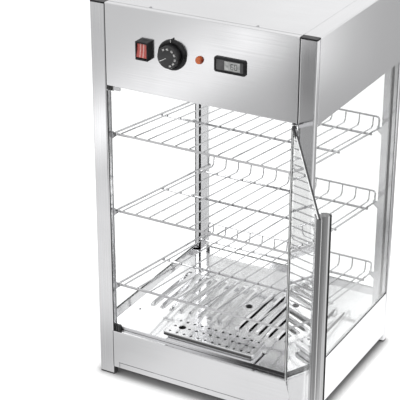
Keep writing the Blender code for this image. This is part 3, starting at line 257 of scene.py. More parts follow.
def front_panels(nodes, x, y):
    """Strengths on the floor before the case, which its front mirrors: its foot the near part, its head the far."""
    near_from, far_from = -0.9, -1.4
    close, far = nodes.smooth(y, near_from, far_from, 1, 0), nodes.smooth(y, near_from, far_from)
    bright_band = nodes.product(nodes.near(x, -0.97, 0.28), 0.90)
    far_part = nodes.product(nodes.total(nodes.smooth(x, -1.2, -0.60, 0.82, 0.64), bright_band), far)
    foot_shade = nodes.product(nodes.near(x, -0.28, 0.2), nodes.smooth(y, -0.6, -0.3), -0.30)
    close_part = nodes.product(nodes.total(foot_shade, 1.10), close)

    # A dark card along the line that the right post mirrors, and one that the handle's outer side mirrors
    card_slope = 0.465
    from_card = nodes.total(x, nodes.product(y, -card_slope), card_slope * FRONT)
    depth = nodes.total(nodes.product(nodes.smooth(y, -1.6, -2.3), 0.75), nodes.smooth(y, -1.55, -1.20, 0.34, 0.65))
    post_card = nodes.product(nodes.near(from_card, 0.237, 0.072), depth, nodes.smooth(y, -0.4, -0.8), -1.0)
    handle_card = nodes.product(nodes.smooth(x, 0.35, 0.50), nodes.smooth(y, -0.80, -1.00), -0.5)
    return nodes.product(nodes.total(far_part, close_part, post_card), nodes.total(handle_card, 1.0))


def rear_panels(nodes, x, y):
    """Strengths on the floor behind the case and at its right, which its right side mirrors."""
    bright_slope = 2.25
    from_side = nodes.total(y, nodes.product(x, -bright_slope), bright_slope * CASE_SIDE)
    bright = nodes.product(nodes.smooth(from_side, -0.10, -0.24), nodes.smooth(x, 1.02, 1.2), 0.9)
    return nodes.total(bright, nodes.smooth(x, 0.20, 0.34, 1.05, 0.54))


def floor_panels(nodes, x, y, aside, along):
    """Strength of all panels on the floor, with the dark room under the case."""
    before, behind = nodes.smooth(y, 0.2, -0.2), nodes.smooth(y, -0.2, 0.2)
    front, rear = nodes.product(front_panels(nodes, x, y), before), nodes.product(rear_panels(nodes, x, y), behind)
    right_strip = nodes.product(nodes.near(x, 0.32, 0.14), nodes.smooth(y, -0.35, -0.2), 1.0)
    under = nodes.product(nodes.smooth(aside, 0.25, 0.20), nodes.smooth(along, 0.22, 0.17))
    remaining = nodes.total(nodes.product(under, -0.95), 1)
    return nodes.maths("MAXIMUM", nodes.product(nodes.total(front, rear, right_strip), remaining), 0)


def add_floor():
    """White for the eye and matt for the light, with soft panels for upright metal, and a painted shadow under the
    case: a darker colour there and no glow.
    """
    size = 20
    mesh = bpy.data.meshes.new("floor")
    corners = [(x, y, FLOOR_Z) for x, y in ((-size, -size), (size, -size), (size, size), (-size, size))]
    mesh.from_pydata(corners, [], [(0, 1, 2, 3)])
    floor = bpy.data.objects.new("floor", mesh)
    bpy.context.collection.objects.link(floor)
    material = bpy.data.materials.new("floor")
    material.use_nodes = True
    mesh.materials.append(material)
    nodes = Nodes(material.node_tree)
    x, y = nodes.split(nodes.add("NewGeometry").outputs["Position"])[:2]
    aside, along = nodes.maths("ABSOLUTE", x), nodes.maths("ABSOLUTE", y)
    panel = nodes.add("Emission")
    nodes.link(floor_panels(nodes, x, y, aside, along), panel.inputs["Strength"])

    # Painted shadow: under the case the floor's colour is darker and its glow is taken away
    painted_shadow = nodes.product(nodes.smooth(aside, 0.262, 0.232), nodes.smooth(along, 0.232, 0.198))
    shader = material.node_tree.nodes["Principled BSDF"]
    tone = nodes.add("Mix", data_type="RGBA")
    nodes.link(painted_shadow, tone.inputs[0])
    tone.inputs[6].default_value, tone.inputs[7].default_value = FLOOR_TONE, PAINTED_SHADOW_TONE
    nodes.link(tone.outputs[2], shader.inputs["Base Color"])
    shader.inputs["Roughness"].default_value = 0.9
    shader.inputs["Specular IOR Level"].default_value = 0.0
    shader.inputs["Emission Color"].default_value = (1, 1, 1, 1)
    glow = nodes.product(nodes.seen("Is Camera Ray", "Is Transmission Ray"), FLOOR_GLOW)
    glow_outside_painted_shadow = nodes.total(nodes.product(painted_shadow, -1.0), 1.0)
    nodes.link(nodes.product(glow, glow_outside_painted_shadow), shader.inputs["Emission Strength"])
    mix = nodes.add("MixShader")
    nodes.link(nodes.mirrored(), mix.inputs[0])
    nodes.link(shader.outputs[0], mix.inputs[1])
    nodes.link(panel.outputs[0], mix.inputs[2])
    nodes.link(mix.outputs[0], material.node_tree.nodes["Material Output"].inputs["Surface"])


# Materials

class Surface(Nodes):
    """A Principled material with short calls for its textures. Places are the object's own, in metres."""

    def __init__(self, name, colour, roughness, metallic=0.0, **inputs):
        self.material = bpy.data.materials.new(name)
        self.material.use_nodes = True
        super().__init__(self.material.node_tree)
        self.shader = self.tree.nodes["Principled BSDF"]
        self.shader.inputs["Base Color"].default_value = (*colour, 1)
        self.shader.inputs["Roughness"].default_value = roughness
        self.shader.inputs["Metallic"].default_value = metallic
        for key, value in inputs.items():
            self.shader.inputs[key.replace("_", " ")].default_value = value
        self.place = self.add("TexCoord").outputs["Object"]

    def shade(self, socket, output):
        self.link(output, self.shader.inputs[socket])

    def noise(self, scale, stretch=(1, 1, 1), detail=2.0, roughness=0.5):
        mapping = self.add("Mapping")
        mapping.inputs["Scale"].default_value = stretch
        self.link(self.place, mapping.inputs["Vector"])
        texture = self.add("TexNoise")
        texture.inputs["Scale"].default_value = scale
        texture.inputs["Detail"].default_value = detail
        texture.inputs["Roughness"].default_value = roughness
        self.link(mapping.outputs[0], texture.inputs["Vector"])
        return texture.outputs["Fac"]

    def spread(self, factor, low, high, start=0.3, end=0.7):
        """From low to high in a straight line, while the factor goes from start to end."""
        node = self.add("MapRange")
        self.link(factor, node.inputs["Value"])
        for socket, value in (("From Min", start), ("From Max", end), ("To Min", low), ("To Max", high)):
            node.inputs[socket].default_value = value
        return node.outputs[0]

    def colours(self, factor, first, second):
        node = self.add("Mix", data_type="RGBA")
        self.link(factor, node.inputs[0])
        node.inputs[6].default_value = (*first, 1)
        node.inputs[7].default_value = (*second, 1)
        self.shade("Base Color", node.outputs[2])

    def from_place(self, axis, centre):
        """Metres from a place along an axis, 0 to 2."""
        return self.maths("SUBTRACT", self.split(self.place)[axis], centre)

    def door_place(self):
        """Metres along the open pane from its pins, and towards its inner side."""
        x, y = self.from_place(0, PIN_X), self.from_place(1, PIN_Y)
        along, inward = (self.total(self.product(x, unit.x), self.product(y, unit.y))
                         for unit in (ALONG_DOOR, DOOR_INWARD))
        return along, inward

    def facing(self, x, y, z):
        """1 where a face looks along this direction of the object, 0 from 45 degrees off."""
        dot = self.add("VectorMath", operation="DOT_PRODUCT")
        self.link(self.add("TexCoord").outputs["Normal"], dot.inputs[0])
        dot.inputs[1].default_value = (x, y, z)
        return self.smooth(dot.outputs["Value"], 0.70, 0.80)

    def bump(self, height, strength, distance):
        node = self.add("Bump")
        node.inputs["Strength"].default_value = strength
        node.inputs["Distance"].default_value = distance
        self.link(height, node.inputs["Height"])
        self.shade("Normal", node.outputs[0])


def brushed_metal(name, along, dark, light, smooth, rough, strength=0.25):
    surface = Surface(name, light, rough, 1.0)
    grain = surface.noise(1.0, BRUSHED_ALONG[along], 3.0, 0.6)
    blend = surface.total(surface.product(grain, 0.55), surface.product(surface.noise(7.0, detail=3.0), 0.45))
    surface.colours(surface.spread(blend, 0, 1, 0.35, 0.65), dark, light)
    surface.shade("Roughness", surface.spread(blend, rough, smooth, 0.35, 0.65))
    surface.bump(grain, strength, 0.0001)
    return surface.material


def drawn_metal():
    """The door's extrusion under fine die lines and a finer grain, with painted shade and highlights along its
    profile, painted light towards its foot, and darker faces where they look up.
    """
    surface = Surface("drawn_aluminium", (0.6, 0.6, 0.6), 0.2, 1.0)
    inward = surface.door_place()[1]
    ramp = surface.add("ValToRGB")
    # Painted shade and highlights across the profile: a dark outer edge, and a bright line where the grip meets the
    # channel
    painted_profile_tones = ((0.0, 0.12), (0.06, 0.14), (0.10, 0.66), (0.26, 0.56), (0.40, 0.66), (0.55, 0.50), (0.60, 0.96),
             (0.66, 0.92), (0.70, 0.48), (1.0, 0.46))  # from the outer side to the inner side
    elements = ramp.color_ramp.elements
    for place, tone in painted_profile_tones[1:-1]:
        elements.new(place)
    for element, (place, tone) in zip(elements, painted_profile_tones):
        element.position, element.color = place, (tone, tone, tone * 1.01, 1)
    surface.link(surface.spread(inward, 0, 1, HANDLE_OUT, HANDLE_IN), ramp.inputs[0])
    lines = surface.noise(1.0, (420.0, 420.0, 0.6), 2.0)
    # Faces that look up are made darker; towards the foot the colour is painted lighter, a painted highlight
    end_face = surface.total(surface.product(surface.facing(0, 0, 1), -0.55), 1.0)
    painted_foot_light = surface.smooth(surface.split(surface.place)[2], 0.24, 0.10, 1.0, 1.45)
    tint = surface.add("Mix", data_type="RGBA", blend_type="MULTIPLY")
    tint.inputs[0].default_value = 1.0
    surface.link(ramp.outputs[0], tint.inputs[6])
    surface.link(surface.product(surface.spread(lines, 0.80, 1.06, 0.35, 0.65), end_face, painted_foot_light), tint.inputs[7])
    surface.shade("Base Color", tint.outputs[2])
    surface.shade("Roughness", surface.spread(surface.noise(1.0, BRUSHED_ALONG["Z"], 3.0), 0.13, 0.22))
    surface.bump(lines, 0.08, 0.0002)
    return surface.material


def clamp_metal():
    """A steel clamp with a black cap round the pin and on its inner jaw."""
    steel, black = (0.74, 0.74, 0.75), (0.012, 0.012, 0.013)
    surface = Surface("clamp_steel", steel, 0.2, 1.0)
    along, inward = surface.door_place()
    inner_half = surface.smooth(inward, -0.0008, 0.0)
    outer_face = surface.facing(-DOOR_INWARD.x, -DOOR_INWARD.y, 0)
    cap = surface.product(surface.smooth(along, CLAMP_CAP + 0.002, CLAMP_CAP),
                          surface.maths("SUBTRACT", 1.0, outer_face))
    dark = surface.maths("MAXIMUM", inner_half, cap)
    surface.colours(dark, steel, black)
    surface.shade("Metallic", surface.maths("SUBTRACT", 1.0, dark))
    mottle = surface.spread(surface.noise(60.0), 0.16, 0.24)
    surface.shade("Roughness", surface.total(surface.product(dark, 0.35), mottle))
    return surface.material


def tray_metal():
    """Thin polished steel. Painted shade rings its punched holes, and its lip has a painted reflection of the dark
    gap under its edge.
    """
    surface = Surface("tray_steel", (0.7, 0.7, 0.71), 0.2, 1.0)
    x, y, z = surface.split(surface.place)
    inside = surface.product(surface.near(x, TRAY.x, HOLES_REACH_X), surface.near(y, TRAY.y, HOLES_REACH_Y))
    column = surface.maths("FRACT", surface.product(surface.from_place(0, TRAY.x), 1 / HOLE_PITCH_X))
    row = surface.maths("FRACT", surface.total(surface.product(surface.from_place(1, TRAY.y), 1 / HOLE_PITCH_Y), 0.5))
    dx = surface.product(surface.maths("SUBTRACT", column, 0.5), HOLE_PITCH_X)
    dy = surface.product(surface.maths("SUBTRACT", row, 0.5), HOLE_PITCH_Y)
    distance = surface.maths("SQRT", surface.total(surface.product(dx, dx), surface.product(dy, dy)))
    # Painted shade: dark rings round the punched holes
    painted_hole_shade = surface.product(surface.smooth(inside, 0.0, 0.001), surface.smooth(distance, 0.0032, 0.0026))
    # Painted reflection: the lip's front faces are darkened, most of all low down
    lip = surface.product(surface.facing(0, -1, 0), surface.smooth(z, 0.1094, 0.1060, 0.50, 0.95))
    surface.colours(surface.maths("MAXIMUM", painted_hole_shade, lip), (0.74, 0.74, 0.75), (0.03, 0.03, 0.03))
    surface.shade("Roughness", surface.spread(surface.noise(12.0), 0.10, 0.15))
    return surface.material


def pan_metal():
    """The pan's front is painted dark at its upper edge, a painted reflection of the dark room under the lid; its
    ends mirror the pale deck.
    """
    surface = Surface("pan_steel", (0.5, 0.5, 0.5), 0.3, 1.0)
    # Painted reflection: the upper edge of the front faces is dark
    dark = surface.product(surface.facing(0, -1, 0), surface.smooth(surface.split(surface.place)[2], 0.0985, 0.1010))
    surface.colours(dark, (0.80, 0.80, 0.81), (0.14, 0.14, 0.145))
    surface.shade("Roughness", surface.spread(surface.noise(12.0), 0.26, 0.36))
    return surface.material


def sill_painted_reflection_metal():
    """A polished strip whose colour goes from pale at its left end to dark at its right end: a painted reflection of
    the pale room and of the open door.
    """
    surface = Surface("sill_steel", (0.6, 0.6, 0.6), 0.25, 1.0)
    # Painted reflection: darker towards the right
    painted_dark_rightwards = surface.smooth(surface.split(surface.place)[0], -0.06, 0.12)
    surface.colours(painted_dark_rightwards, (0.86, 0.86, 0.87), (0.055, 0.055, 0.056))
    surface.shade("Roughness", surface.spread(surface.noise(20.0), 0.3, 0.4))
    return surface.material


def catch_plastic():
    """Dark plastic round the magnet, with the paler edges of its plates at the front."""
    plate_pitch = 0.0048
    surface = Surface("catch_plastic", (0.045, 0.045, 0.047), 0.4)
    wave = surface.maths("SINE", surface.product(surface.split(surface.place)[0], 2 * math.pi / plate_pitch))
    plates = surface.product(surface.facing(0, -1, 0), surface.smooth(wave, 0.35, 0.75))
    surface.colours(plates, (0.008, 0.008, 0.0085), (0.13, 0.13, 0.13))
    surface.shade("Roughness", surface.spread(surface.noise(90.0), 0.3, 0.5))
    return surface.material


def polished_metal(name, dark, light, smooth, rough):
    surface = Surface(name, light, rough, 1.0)
    surface.colours(surface.spread(surface.noise(4.0), 0, 1), dark, light)
    surface.shade("Roughness", surface.spread(surface.noise(5.0), smooth, rough))
    surface.bump(surface.noise(5.0, detail=0.0), 0.003, 0.01)
    return surface.material


def moulded_plastic(name, colour, roughness, strength=0.15, gloss=0.5):
    surface = Surface(name, colour, roughness, Specular_IOR_Level=gloss)
    worn = tuple(min(1.0, channel * 1.5 + 0.012) for channel in colour)
    surface.colours(surface.spread(surface.noise(60.0, detail=4.0), 0, 1, 0.4, 0.75), colour, worn)
    surface.shade("Roughness", surface.spread(surface.noise(35.0), roughness - 0.08, roughness + 0.1))
    surface.bump(surface.noise(2200.0), strength, 0.00005)
    return surface.material


def glass(name, tint, haze):
    """Clear glass that lets lamp light in, with a faint smear on its faces."""
    surface = Surface(name, tint, 0.0, Transmission_Weight=1.0, IOR=1.45)
    surface.shade("Roughness", surface.spread(surface.noise(5.0, (1, 1, 0.4), 3.0), 0.0, haze, 0.5, 0.8))
    clear = surface.add("BsdfTransparent")
    clear.inputs["Color"].default_value = (0.97, 0.98, 0.98, 1)
    mix = surface.add("MixShader")
    surface.link(surface.seen("Is Shadow Ray"), mix.inputs[0])
    surface.link(surface.shader.outputs[0], mix.inputs[1])
    surface.link(clear.outputs[0], mix.inputs[2])
    surface.link(mix.outputs[0], surface.tree.nodes["Material Output"].inputs["Surface"])
    return surface.material


def rocker_red():
    """Clear red plastic over a neon lamp, whose two wires show as paler upright streaks."""
    button_middle, streak_place = JOINTS["rocker_tilt"]["pos_m"][0], 0.0034
    red, pale = (0.50, 0.085, 0.07), (0.80, 0.50, 0.46)
    surface = Surface("rocker_red", red, 0.22, Coat_Weight=0.4)
    off_centre = surface.maths("ABSOLUTE", surface.from_place(0, button_middle))
    from_streak = surface.maths("ABSOLUTE", surface.maths("SUBTRACT", off_centre, streak_place))
    broken = surface.product(surface.spread(from_streak, 1.0, 0.0, 0.0006, 0.0016),
                             surface.spread(surface.noise(260.0), 0.55, 1.0))
    surface.colours(broken, red, pale)
    surface.shade("Roughness", surface.spread(surface.noise(90.0), 0.15, 0.32))
    return surface.material


def orange_lens():
    """A faceted lens whose right edge lies in its own shade, which is painted into its colour."""
    surface = Surface("orange_lens", (0.45, 0.07, 0.01), 0.18, Coat_Weight=0.15)
    facets = surface.product(surface.spread(surface.noise(500.0), 0, 1, 0.4, 0.6), 0.45)
    # Painted shade: lighter at the left, darker towards the right edge
    lit = surface.smooth(surface.split(surface.place)[0], 0.0082, 0.0030, 0, 0.55)
    surface.colours(surface.total(facets, lit), (0.24, 0.018, 0.004), (0.70, 0.145, 0.016))
    return surface.material


def dress_nodes():
    dark, light = (0.63, 0.63, 0.64), (0.68, 0.68, 0.69)
    steel = {axis: brushed_metal(f"brushed_steel_{axis}", axis, dark, light, 0.13, 0.19, 0.12) for axis in "XY"}
    steel["Z"] = brushed_metal("brushed_steel_Z", "Z", (0.57, 0.57, 0.58), (0.69, 0.69, 0.70), 0.10, 0.16, 0.03)
    inner = polished_metal("bright_steel", (0.77, 0.77, 0.78), (0.80, 0.80, 0.81), 0.10, 0.13)
    wire = polished_metal("chromed_wire", (0.44, 0.44, 0.45), (0.58, 0.58, 0.59), 0.10, 0.18)
    clip = polished_metal("hook_steel", (0.62, 0.62, 0.63), (0.70, 0.70, 0.71), 0.15, 0.22)
    plate = polished_metal("plate_steel", (0.42, 0.42, 0.43), (0.52, 0.52, 0.53), 0.2, 0.3)
    heater = brushed_metal("heater_steel", "X", (0.10, 0.09, 0.085), (0.22, 0.20, 0.19), 0.40, 0.55)
    pane = glass("clear_glass", (0.985, 0.993, 0.990), 0.015)
    door = glass("door_glass", (0.985, 0.990, 0.988), 0.02)
    black = moulded_plastic("black_plastic", (0.011, 0.011, 0.012), 0.36, gloss=0.22)
    sole = moulded_plastic("foot_plastic", (0.008, 0.008, 0.008), 0.75)
    knob = moulded_plastic("knob_plastic", (0.018, 0.018, 0.019), 0.42)
    grey = moulded_plastic("grey_plastic", (0.06, 0.06, 0.062), 0.30)
    ceramic = moulded_plastic("ceramic", (0.80, 0.78, 0.72), 0.55)
    catch = catch_plastic()

    looks = {
        "control_panel": steel["X"], "front_base_panel": steel["X"], "rear_base": steel["X"], "rear_head": steel["X"],
        "top_cover": steel["X"], "base_pan": steel["X"], "catch_plate_top": plate,
        "ceiling": inner, "deck": inner, "water_pan": pan_metal(), "tray_lid": tray_metal(),
        "rear_glass": pane, "side_glass_left": pane, "side_glass_right": pane, "door_glass": door,
        "door_handle": drawn_metal(), "door_clamp_top": clamp_metal(), "door_clamp_bottom": inner,
        "hinge_plate_top": inner, "hinge_plate_bottom": inner, "magnet_catch_top": catch,
        "magnet_catch_bottom": catch, "deck_screw": black, "cord_gland": black,
        "rocker_housing": black, "rocker_button": rocker_red(), "dial_ring": black, "thermostat_knob": knob,
        "thermostat_shaft": grey, "thermostat_body": grey, "pilot_lamp": orange_lens(),
        "thermometer_housing": black, "thermometer_display": grey,
        "heating_element": heater, "terminal_block": ceramic,
    }
    for side in ("left", "right"):
        looks[f"side_base_{side}"] = looks[f"side_head_{side}"] = steel["Y"]
        looks[f"element_bracket_{side}"] = steel["X"]
        for end in ("front", "rear"):
            looks[f"post_{end}_{side}"] = steel["Z"]
            looks[f"hook_strip_{end}_{side}"] = clip
            looks[f"post_cap_{end}_{side}"] = black
            looks[f"foot_{end}_{side}"] = sole
    for number in (1, 2, 3):
        looks[f"shelf_{number}"] = wire
    missing = sorted(set(NODES) - set(looks))
    if missing:
        raise ValueError(f"no look for {missing}")
    for name, material in looks.items():
        for slot in NODES[name].material_slots:
            slot.material = material


# Added pieces

def add_piece(name, bm, material, body):
    bmesh.ops.recalc_face_normals(bm, faces=bm.faces)
    mesh = bpy.data.meshes.new(name)
    bm.to_mesh(mesh)
    bm.free()
    mesh.materials.append(material)
    piece = bpy.data.objects.new(name, mesh)
    bpy.context.collection.objects.link(piece)
    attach(piece, body)
    return piece


def round_off(piece, angle):
    """Smooth shading, with edges sharper than this many degrees kept."""
    piece.data.shade_smooth()
    piece.data.set_sharp_from_angle(angle=math.radians(angle))


def extrude(bm, points, way):
    """A prism on a flat outline."""
    face = bm.faces.new([bm.verts.new(point) for point in points])
    grown = bmesh.ops.extrude_face_region(bm, geom=[face])["geom"]
    moved = [item for item in grown if isinstance(item, bmesh.types.BMVert)]
    bmesh.ops.translate(bm, vec=way, verts=moved)


def add_block(bm, outline, near, far):
    """A plate in the plane of the front, on an outline of (x, z), from near to far along Y."""
    extrude(bm, [(x, near, z) for x, z in outline], (0, far - near, 0))


def bar(start, end, width):
    start, end = Vector(start), Vector(end)
    along = (end - start).normalized()
    beside = Vector((-along.y, along.x)) * (width / 2)
    return [tuple(point) for point in (start + beside, end + beside, end - beside, start - beside)]


def add_words(bm, words, size, centre, turn, y, thickness):
    """Raised lettering in the plane of the front, turned about its own middle."""
    curve = bpy.data.curves.new("words", "FONT")
    curve.body = words
    curve.size = size
    curve.extrude = thickness / 2
    curve.offset = size * 0.012
    curve.align_x = curve.align_y = "CENTER"
    curve.resolution_u = 3
    text = bpy.data.objects.new("words", curve)
    bpy.context.collection.objects.link(text)
    mesh = bpy.data.meshes.new_from_object(text.evaluated_get(bpy.context.evaluated_depsgraph_get()))
    place = Matrix.Translation((centre[0], y, centre[1])) @ Matrix.Rotation(math.pi / 2, 4, "X")
    mesh.transform(place @ Matrix.Rotation(turn, 4, "Z"))
    bm.from_mesh(mesh)
    bpy.data.objects.remove(text, do_unlink=True)
    bpy.data.curves.remove(curve)
    bpy.data.meshes.remove(mesh)


def add_marks(white):
    """The pointer and the numbers on the knob, and the mark on the ring round it."""
    x, z = JOINTS["thermostat_turn"]["pos_m"][0], JOINTS["thermostat_turn"]["pos_m"][2]
    face, ring_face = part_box("thermostat_knob")[0].y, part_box("dial_ring")[0].y
    pointer_angle, pointer_from, pointer_to, pointer_width = math.radians(209), 0.0034, 0.0191, 0.0009
    number_angles, number_radius, number_size = (122, 91, 54, 25, -7, -39, -68), 0.0163, 0.0050
    numbers = ("30", "40", "50", "60", "70", "80", "90")
    mark_from, mark_to, mark_width = 0.0262, 0.0312, 0.0010

    middle = Vector((x, z))
    towards = Vector((math.cos(pointer_angle), math.sin(pointer_angle)))
    bm = bmesh.new()
    line = bar(middle + towards * pointer_from, middle + towards * pointer_to, pointer_width)
    add_block(bm, line, face + 0.0005, face - 0.00005)
    add_piece("knob_pointer", bm, white, "knob")

    bm = bmesh.new()
    for angle, words in zip(number_angles, numbers):
        turn = math.radians(angle)
        centre = (x + number_radius * math.cos(turn), z + number_radius * math.sin(turn))
        add_words(bm, words, number_size, centre, turn - math.pi / 2, face - 0.00004, 0.00016)
    add_piece("knob_numbers", bm, white, "knob")

    bm = bmesh.new()
    add_block(bm, bar((x, z + mark_from), (x, z + mark_to), mark_width), ring_face + 0.0002, ring_face - 0.00008)
    add_piece("dial_mark", bm, white, "case")


def seven_segments(bm, digit, left, bottom, width, height, stroke, y, thickness):
    lit = {"0": "abcdef", "6": "afgedc"}[digit]
    gap = stroke * 0.25
    right, top, middle = left + width, bottom + height, bottom + height / 2
    ends = {
        "a": ((left + gap, top), (right - gap, top)), "d": ((left + gap, bottom), (right - gap, bottom)),
        "g": ((left + gap, middle), (right - gap, middle)),
        "f": ((left, middle + gap), (left, top - gap)), "e": ((left, bottom + gap), (left, middle - gap)),
        "b": ((right, middle + gap), (right, top - gap)), "c": ((right, bottom + gap), (right, middle - gap)),
    }
    for segment in lit:
        add_block(bm, bar(*ends[segment], stroke), y, y - thickness)


def add_meter_window(black):
    """The liquid crystal window in the right half of the meter's face, with its digits."""
    window = Surface("lcd_window", (0.42, 0.43, 0.42), 0.16, Coat_Weight=0.6)
    window.colours(window.spread(window.noise(90.0, (1, 1, 2)), 0, 1), (0.26, 0.27, 0.265), (0.50, 0.51, 0.50))
    low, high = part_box("thermometer_housing")
    left, right, bottom, top = low.x + 0.0220, high.x - 0.0115, low.z + 0.0065, high.z - 0.0063
    digit_width, digit_height, digit_pitch, stroke = 0.0048, 0.0105, 0.0078, 0.0011

    bm = bmesh.new()
    outline = [(left, bottom), (right, bottom), (right, top), (left, top)]
    add_block(bm, outline, low.y + 0.0009, low.y + 0.00055)
    add_piece("thermometer_window", bm, window.material, "case")
    bm = bmesh.new()
    for i, digit in enumerate("60"):
        digit_left = left + 0.0135 + i * digit_pitch
        seven_segments(bm, digit, digit_left, bottom + 0.0030, digit_width, digit_height, stroke,
                       low.y + 0.0006, 0.00012)
    add_piece("thermometer_digits", bm, black, "case")


def add_screw(name, place, radius, height, material):
    """A domed screw with a sunk middle that stands on a level surface of the case."""
    sides = 24
    dome = ((1.0, 0.0), (1.0, 0.25), (0.86, 0.62), (0.6, 0.88), (0.30, 1.0))  # shares of the radius and the height
    bm = bmesh.new()
    rows = []
    for share, rise in dome:
        reach, row = radius * share, []
        for i in range(sides):
            angle = 2 * math.pi * i / sides
            row.append(bm.verts.new((reach * math.cos(angle), reach * math.sin(angle), height * rise)))
        rows.append(row)
    for lower, upper in zip(rows, rows[1:]):
        for i in range(sides):
            bm.faces.new((lower[i - 1], lower[i], upper[i], upper[i - 1]))
    bm.faces.new(rows[0])
    sunk = bm.faces.new(rows[-1])
    bmesh.ops.inset_individual(bm, faces=[sunk], thickness=radius * 0.08)
    bmesh.ops.translate(bm, vec=(0, 0, -height * 0.35), verts=sunk.verts)
    bmesh.ops.translate(bm, vec=place, verts=bm.verts)
    round_off(add_piece(name, bm, material, "case"), 40)


def add_strip(name, low, high, material, body="case"):
    """A soft strip with rounded long edges, between two corners of its box."""
    bm = bmesh.new()
    bmesh.ops.create_cube(bm, size=1.0)
    size = Vector(high) - Vector(low)
    bmesh.ops.scale(bm, vec=size, verts=bm.verts)
    bmesh.ops.translate(bm, vec=(Vector(low) + Vector(high)) / 2, verts=bm.verts)
    longest = max(range(3), key=lambda axis: size[axis])
    long_edges = [e for e in bm.edges if abs((e.verts[0].co - e.verts[1].co)[longest]) > size[longest] / 2]
    thin = min(size[axis] for axis in range(3) if axis != longest)
    bmesh.ops.bevel(bm, geom=long_edges, offset=thin * 0.3, segments=2, affect="EDGES")
    piece = add_piece(name, bm, material, body)
    round_off(piece, 50)
    return piece


def add_wedge(name, outline, axis, start, end, material):
    """A straight strip on an outline of (place across, z), which runs along X or Y."""
    bm = bmesh.new()
    points = [(start, a, z) if axis == "X" else (a, start, z) for a, z in outline]
    extrude(bm, points, (end - start, 0, 0) if axis == "X" else (0, end - start, 0))
    add_piece(name, bm, material, "case")


def add_side_trim(side, sign, rubber, bead, bright):
    """The seams of one post, and what closes the gaps round the pane of that side."""

    def strip(name, x, y, z, material):
        near, far = sorted(sign * value for value in x)
        add_strip(f"{name}_{side}", (near, y[0], z[0]), (far, y[1], z[1]), material)

    strip("head_seam", (POST_EDGE - 0.0008, POST_EDGE + 0.0004), (FRONT - 0.00025, FRONT + 0.0004),
          (HEAD_FOOT + 0.0002, TOP_Z - 0.0025), rubber)
    strip("base_seam", (POST_EDGE - 0.0006, POST_EDGE + 0.0003), (FRONT - 0.0002, FRONT + 0.0004),
          (0.0002, SILL_TOP - 0.0015), rubber)
    bead_end, cove_end, gasket_end = PANE_END - 0.0002, PANE_END - 0.0022, PANE_END - 0.0001
    strip("glass_bead", (PANE_IN - 0.0016, PANE_IN - 0.0001), (-bead_end, bead_end),
          (DECK_TOP - 0.0023, DECK_TOP + 0.0090), bead)
    slope = [(sign * (PANE_IN - 0.0017), DECK_TOP), (sign * (PANE_IN - 0.0117), DECK_TOP + 0.0002),
             (sign * (PANE_IN - 0.0017), DECK_TOP + 0.0090)]
    add_wedge(f"deck_cove_{side}", slope, "Y", -cove_end, cove_end, bright)
    strip("side_gasket", (PANE_OUT + 0.0002, PANE_OUT + 0.0014), (-gasket_end, gasket_end),
          (BASE_TOP, BASE_TOP + 0.0012), rubber)
    edge_from, edge_to = PANE_END - 0.0008, PANE_END + 0.0002
    for end, y in (("front", (-edge_to, -edge_from)), ("rear", (edge_from, edge_to))):
        strip(f"glass_edge_{end}", (PANE_IN + 0.0001, PANE_OUT - 0.0001), y,
              (DECK_TOP - 0.0013, HEAD_FOOT - 0.0001), rubber)


def add_foot_shade_strips(side, sign, rubber):
    """Thin dark strips on the inner side of the feet, painted shade where the posts mirror the dark room under the
    case.
    """
    near, far = sorted((sign * POST_EDGE, sign * (POST_EDGE - 0.0005)))
    shade_from, shade_to = -POST_BACK + 0.0004, -FRONT - 0.0004
    for end, low, high in (("front", -shade_to, -shade_from), ("rear", shade_from, shade_to)):
        add_strip(f"foot_shade_strip_{end}_{side}", (near, low, FLOOR_Z + 0.0005), (far, high, -0.0004), rubber)


def add_seals(rubber, bead, bright):
    """Rubber along the seams and at the free edge of the shut door, and beads and bright strips at the glass."""
    add_strip("door_seal", (-POST_EDGE + 0.0002, FRONT + 0.0012, SILL_TOP + 0.0010),
              (-POST_EDGE + 0.0012, FRONT + 0.0034, HEAD_FOOT - 0.0115), rubber)
    for side, sign in (("left", -1), ("right", 1)):
        add_side_trim(side, sign, rubber, bead, bright)
    rear_reach = POST_EDGE - 0.0020
    add_strip("glass_bead_rear", (-rear_reach - 0.0010, REAR_PANE_IN - 0.0016, DECK_TOP - 0.0023),
              (rear_reach + 0.0010, REAR_PANE_IN - 0.0001, DECK_TOP + 0.0090), bead)
    flat = [(REAR_PANE_IN - 0.0017, DECK_TOP + 0.0001), (REAR_PANE_IN - 0.0025, DECK_TOP + 0.0001),
            (REAR_PANE_IN - 0.0025, DECK_TOP + 0.0084), (REAR_PANE_IN - 0.0017, DECK_TOP + 0.0090)]
    add_wedge("deck_cove_rear", flat, "X", -rear_reach, rear_reach, bright)
    # A strip in front of the deck's flange that carries the sill's painted reflection
    flat = [(DECK_FRONT - 0.0002, SILL_TOP + 0.0002), (DECK_FRONT - 0.0009, SILL_TOP + 0.0002),
            (DECK_FRONT - 0.0009, DECK_TOP - 0.0008), (DECK_FRONT - 0.0002, DECK_TOP - 0.0002)]
    add_wedge("sill_trim", flat, "X", -POST_EDGE + 0.0140, rear_reach, sill_painted_reflection_metal())
    # Dark strips at the feet: painted shade
    for side, sign in (("left", -1), ("right", 1)):
        add_foot_shade_strips(side, sign, rubber)
    add_strip("fold_mark_left", (-POST_EDGE + 0.0143, FRONT - 0.0002, 0.0004),
              (-POST_EDGE + 0.0151, FRONT + 0.0002, 0.0114), rubber)


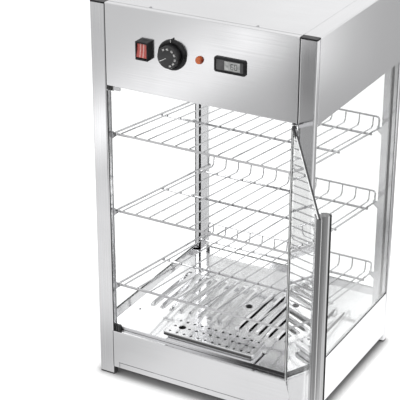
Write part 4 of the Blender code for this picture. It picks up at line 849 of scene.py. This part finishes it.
def add_door_trim(rubber, bead):
    """A seal over the pane's edge at the hinges, the ground corners of its top edge, and a dark strip at the handle's
    outer edge, which is painted shade.

    The strips are given along the pane, towards its inner side and upwards.
    """
    place = Matrix.Translation((PIN_X, PIN_Y, 0)) @ Matrix.Rotation(DOOR_ANGLE + math.pi, 4, "Z")
    seal_foot, seal_top = DOOR_FOOT + 0.0076, DOOR_TOP - 0.0076
    corner_from, corner_to = 0.0510, 0.3920
    strips = {
        "door_edge_seal": ((-0.0023, PANE_HALF + 0.0001, seal_foot), (0.0115, PANE_HALF + 0.0017, seal_top), bead),
        "door_edge_lip": ((-0.0024, PANE_HALF + 0.0017, seal_foot), (-0.0006, PANE_HALF + 0.0024, seal_top), rubber),
        "door_edge_stop": ((0.0116, PANE_HALF + 0.0001, seal_foot), (0.0124, PANE_HALF + 0.0011, seal_top), rubber),
        "pane_top_corner_in": ((corner_from, 0.0008, DOOR_TOP + 0.0001),
                               (corner_to, PANE_HALF, DOOR_TOP + 0.0005), bead),
        "pane_top_corner_out": ((corner_from, -PANE_HALF, DOOR_TOP + 0.0001),
                                (corner_to, 0.0007, DOOR_TOP + 0.0006), rubber),
        # A dark strip that stands in for the shade on the handle's outer edge: painted shade
        "handle_edge_trim": ((0.3725, HANDLE_OUT - 0.0016, DOOR_FOOT + 0.0004),
                             (0.3775, HANDLE_OUT - 0.0001, DOOR_TOP - 0.0004), rubber),
    }
    for name, (low, high, material) in strips.items():
        low, high = (low[0], -high[1], low[2]), (high[0], -low[1], high[2])
        add_strip(name, low, high, material, "door").data.transform(place)


def add_details():
    white = moulded_plastic("printed_white", (0.82, 0.82, 0.80), 0.45, 0.02)
    rubber = moulded_plastic("seal_rubber", (0.02, 0.02, 0.021), 0.5)
    bead = moulded_plastic("clear_bead", (0.72, 0.73, 0.73), 0.3, 0.05)
    steel = polished_metal("screw_steel", (0.45, 0.45, 0.46), (0.60, 0.60, 0.61), 0.20, 0.30)
    add_seals(rubber, bead, NODES["deck"].material_slots[0].material)
    add_door_trim(rubber, bead)
    add_marks(white)
    add_meter_window(NODES["thermometer_housing"].material_slots[0].material)
    for side, sign in (("left", -1), ("right", 1)):
        add_screw(f"top_screw_{side}", (sign * 0.113, FRONT + 0.0165, TOP_Z), 0.0032, 0.0012, steel)
    for side, sign in (("left", -1), ("right", 1)):
        add_screw(f"deck_side_screw_{side}", (sign * 0.199, -0.112, DECK_TOP), 0.0027, 0.0014, steel)


add_camera()
add_world()
for lamp_name, lamp_settings in LAMPS.items():
    add_lamp(lamp_name, *lamp_settings)
bpy.context.scene.view_settings.view_transform = "Standard"
add_floor()
dress_nodes()
add_details()
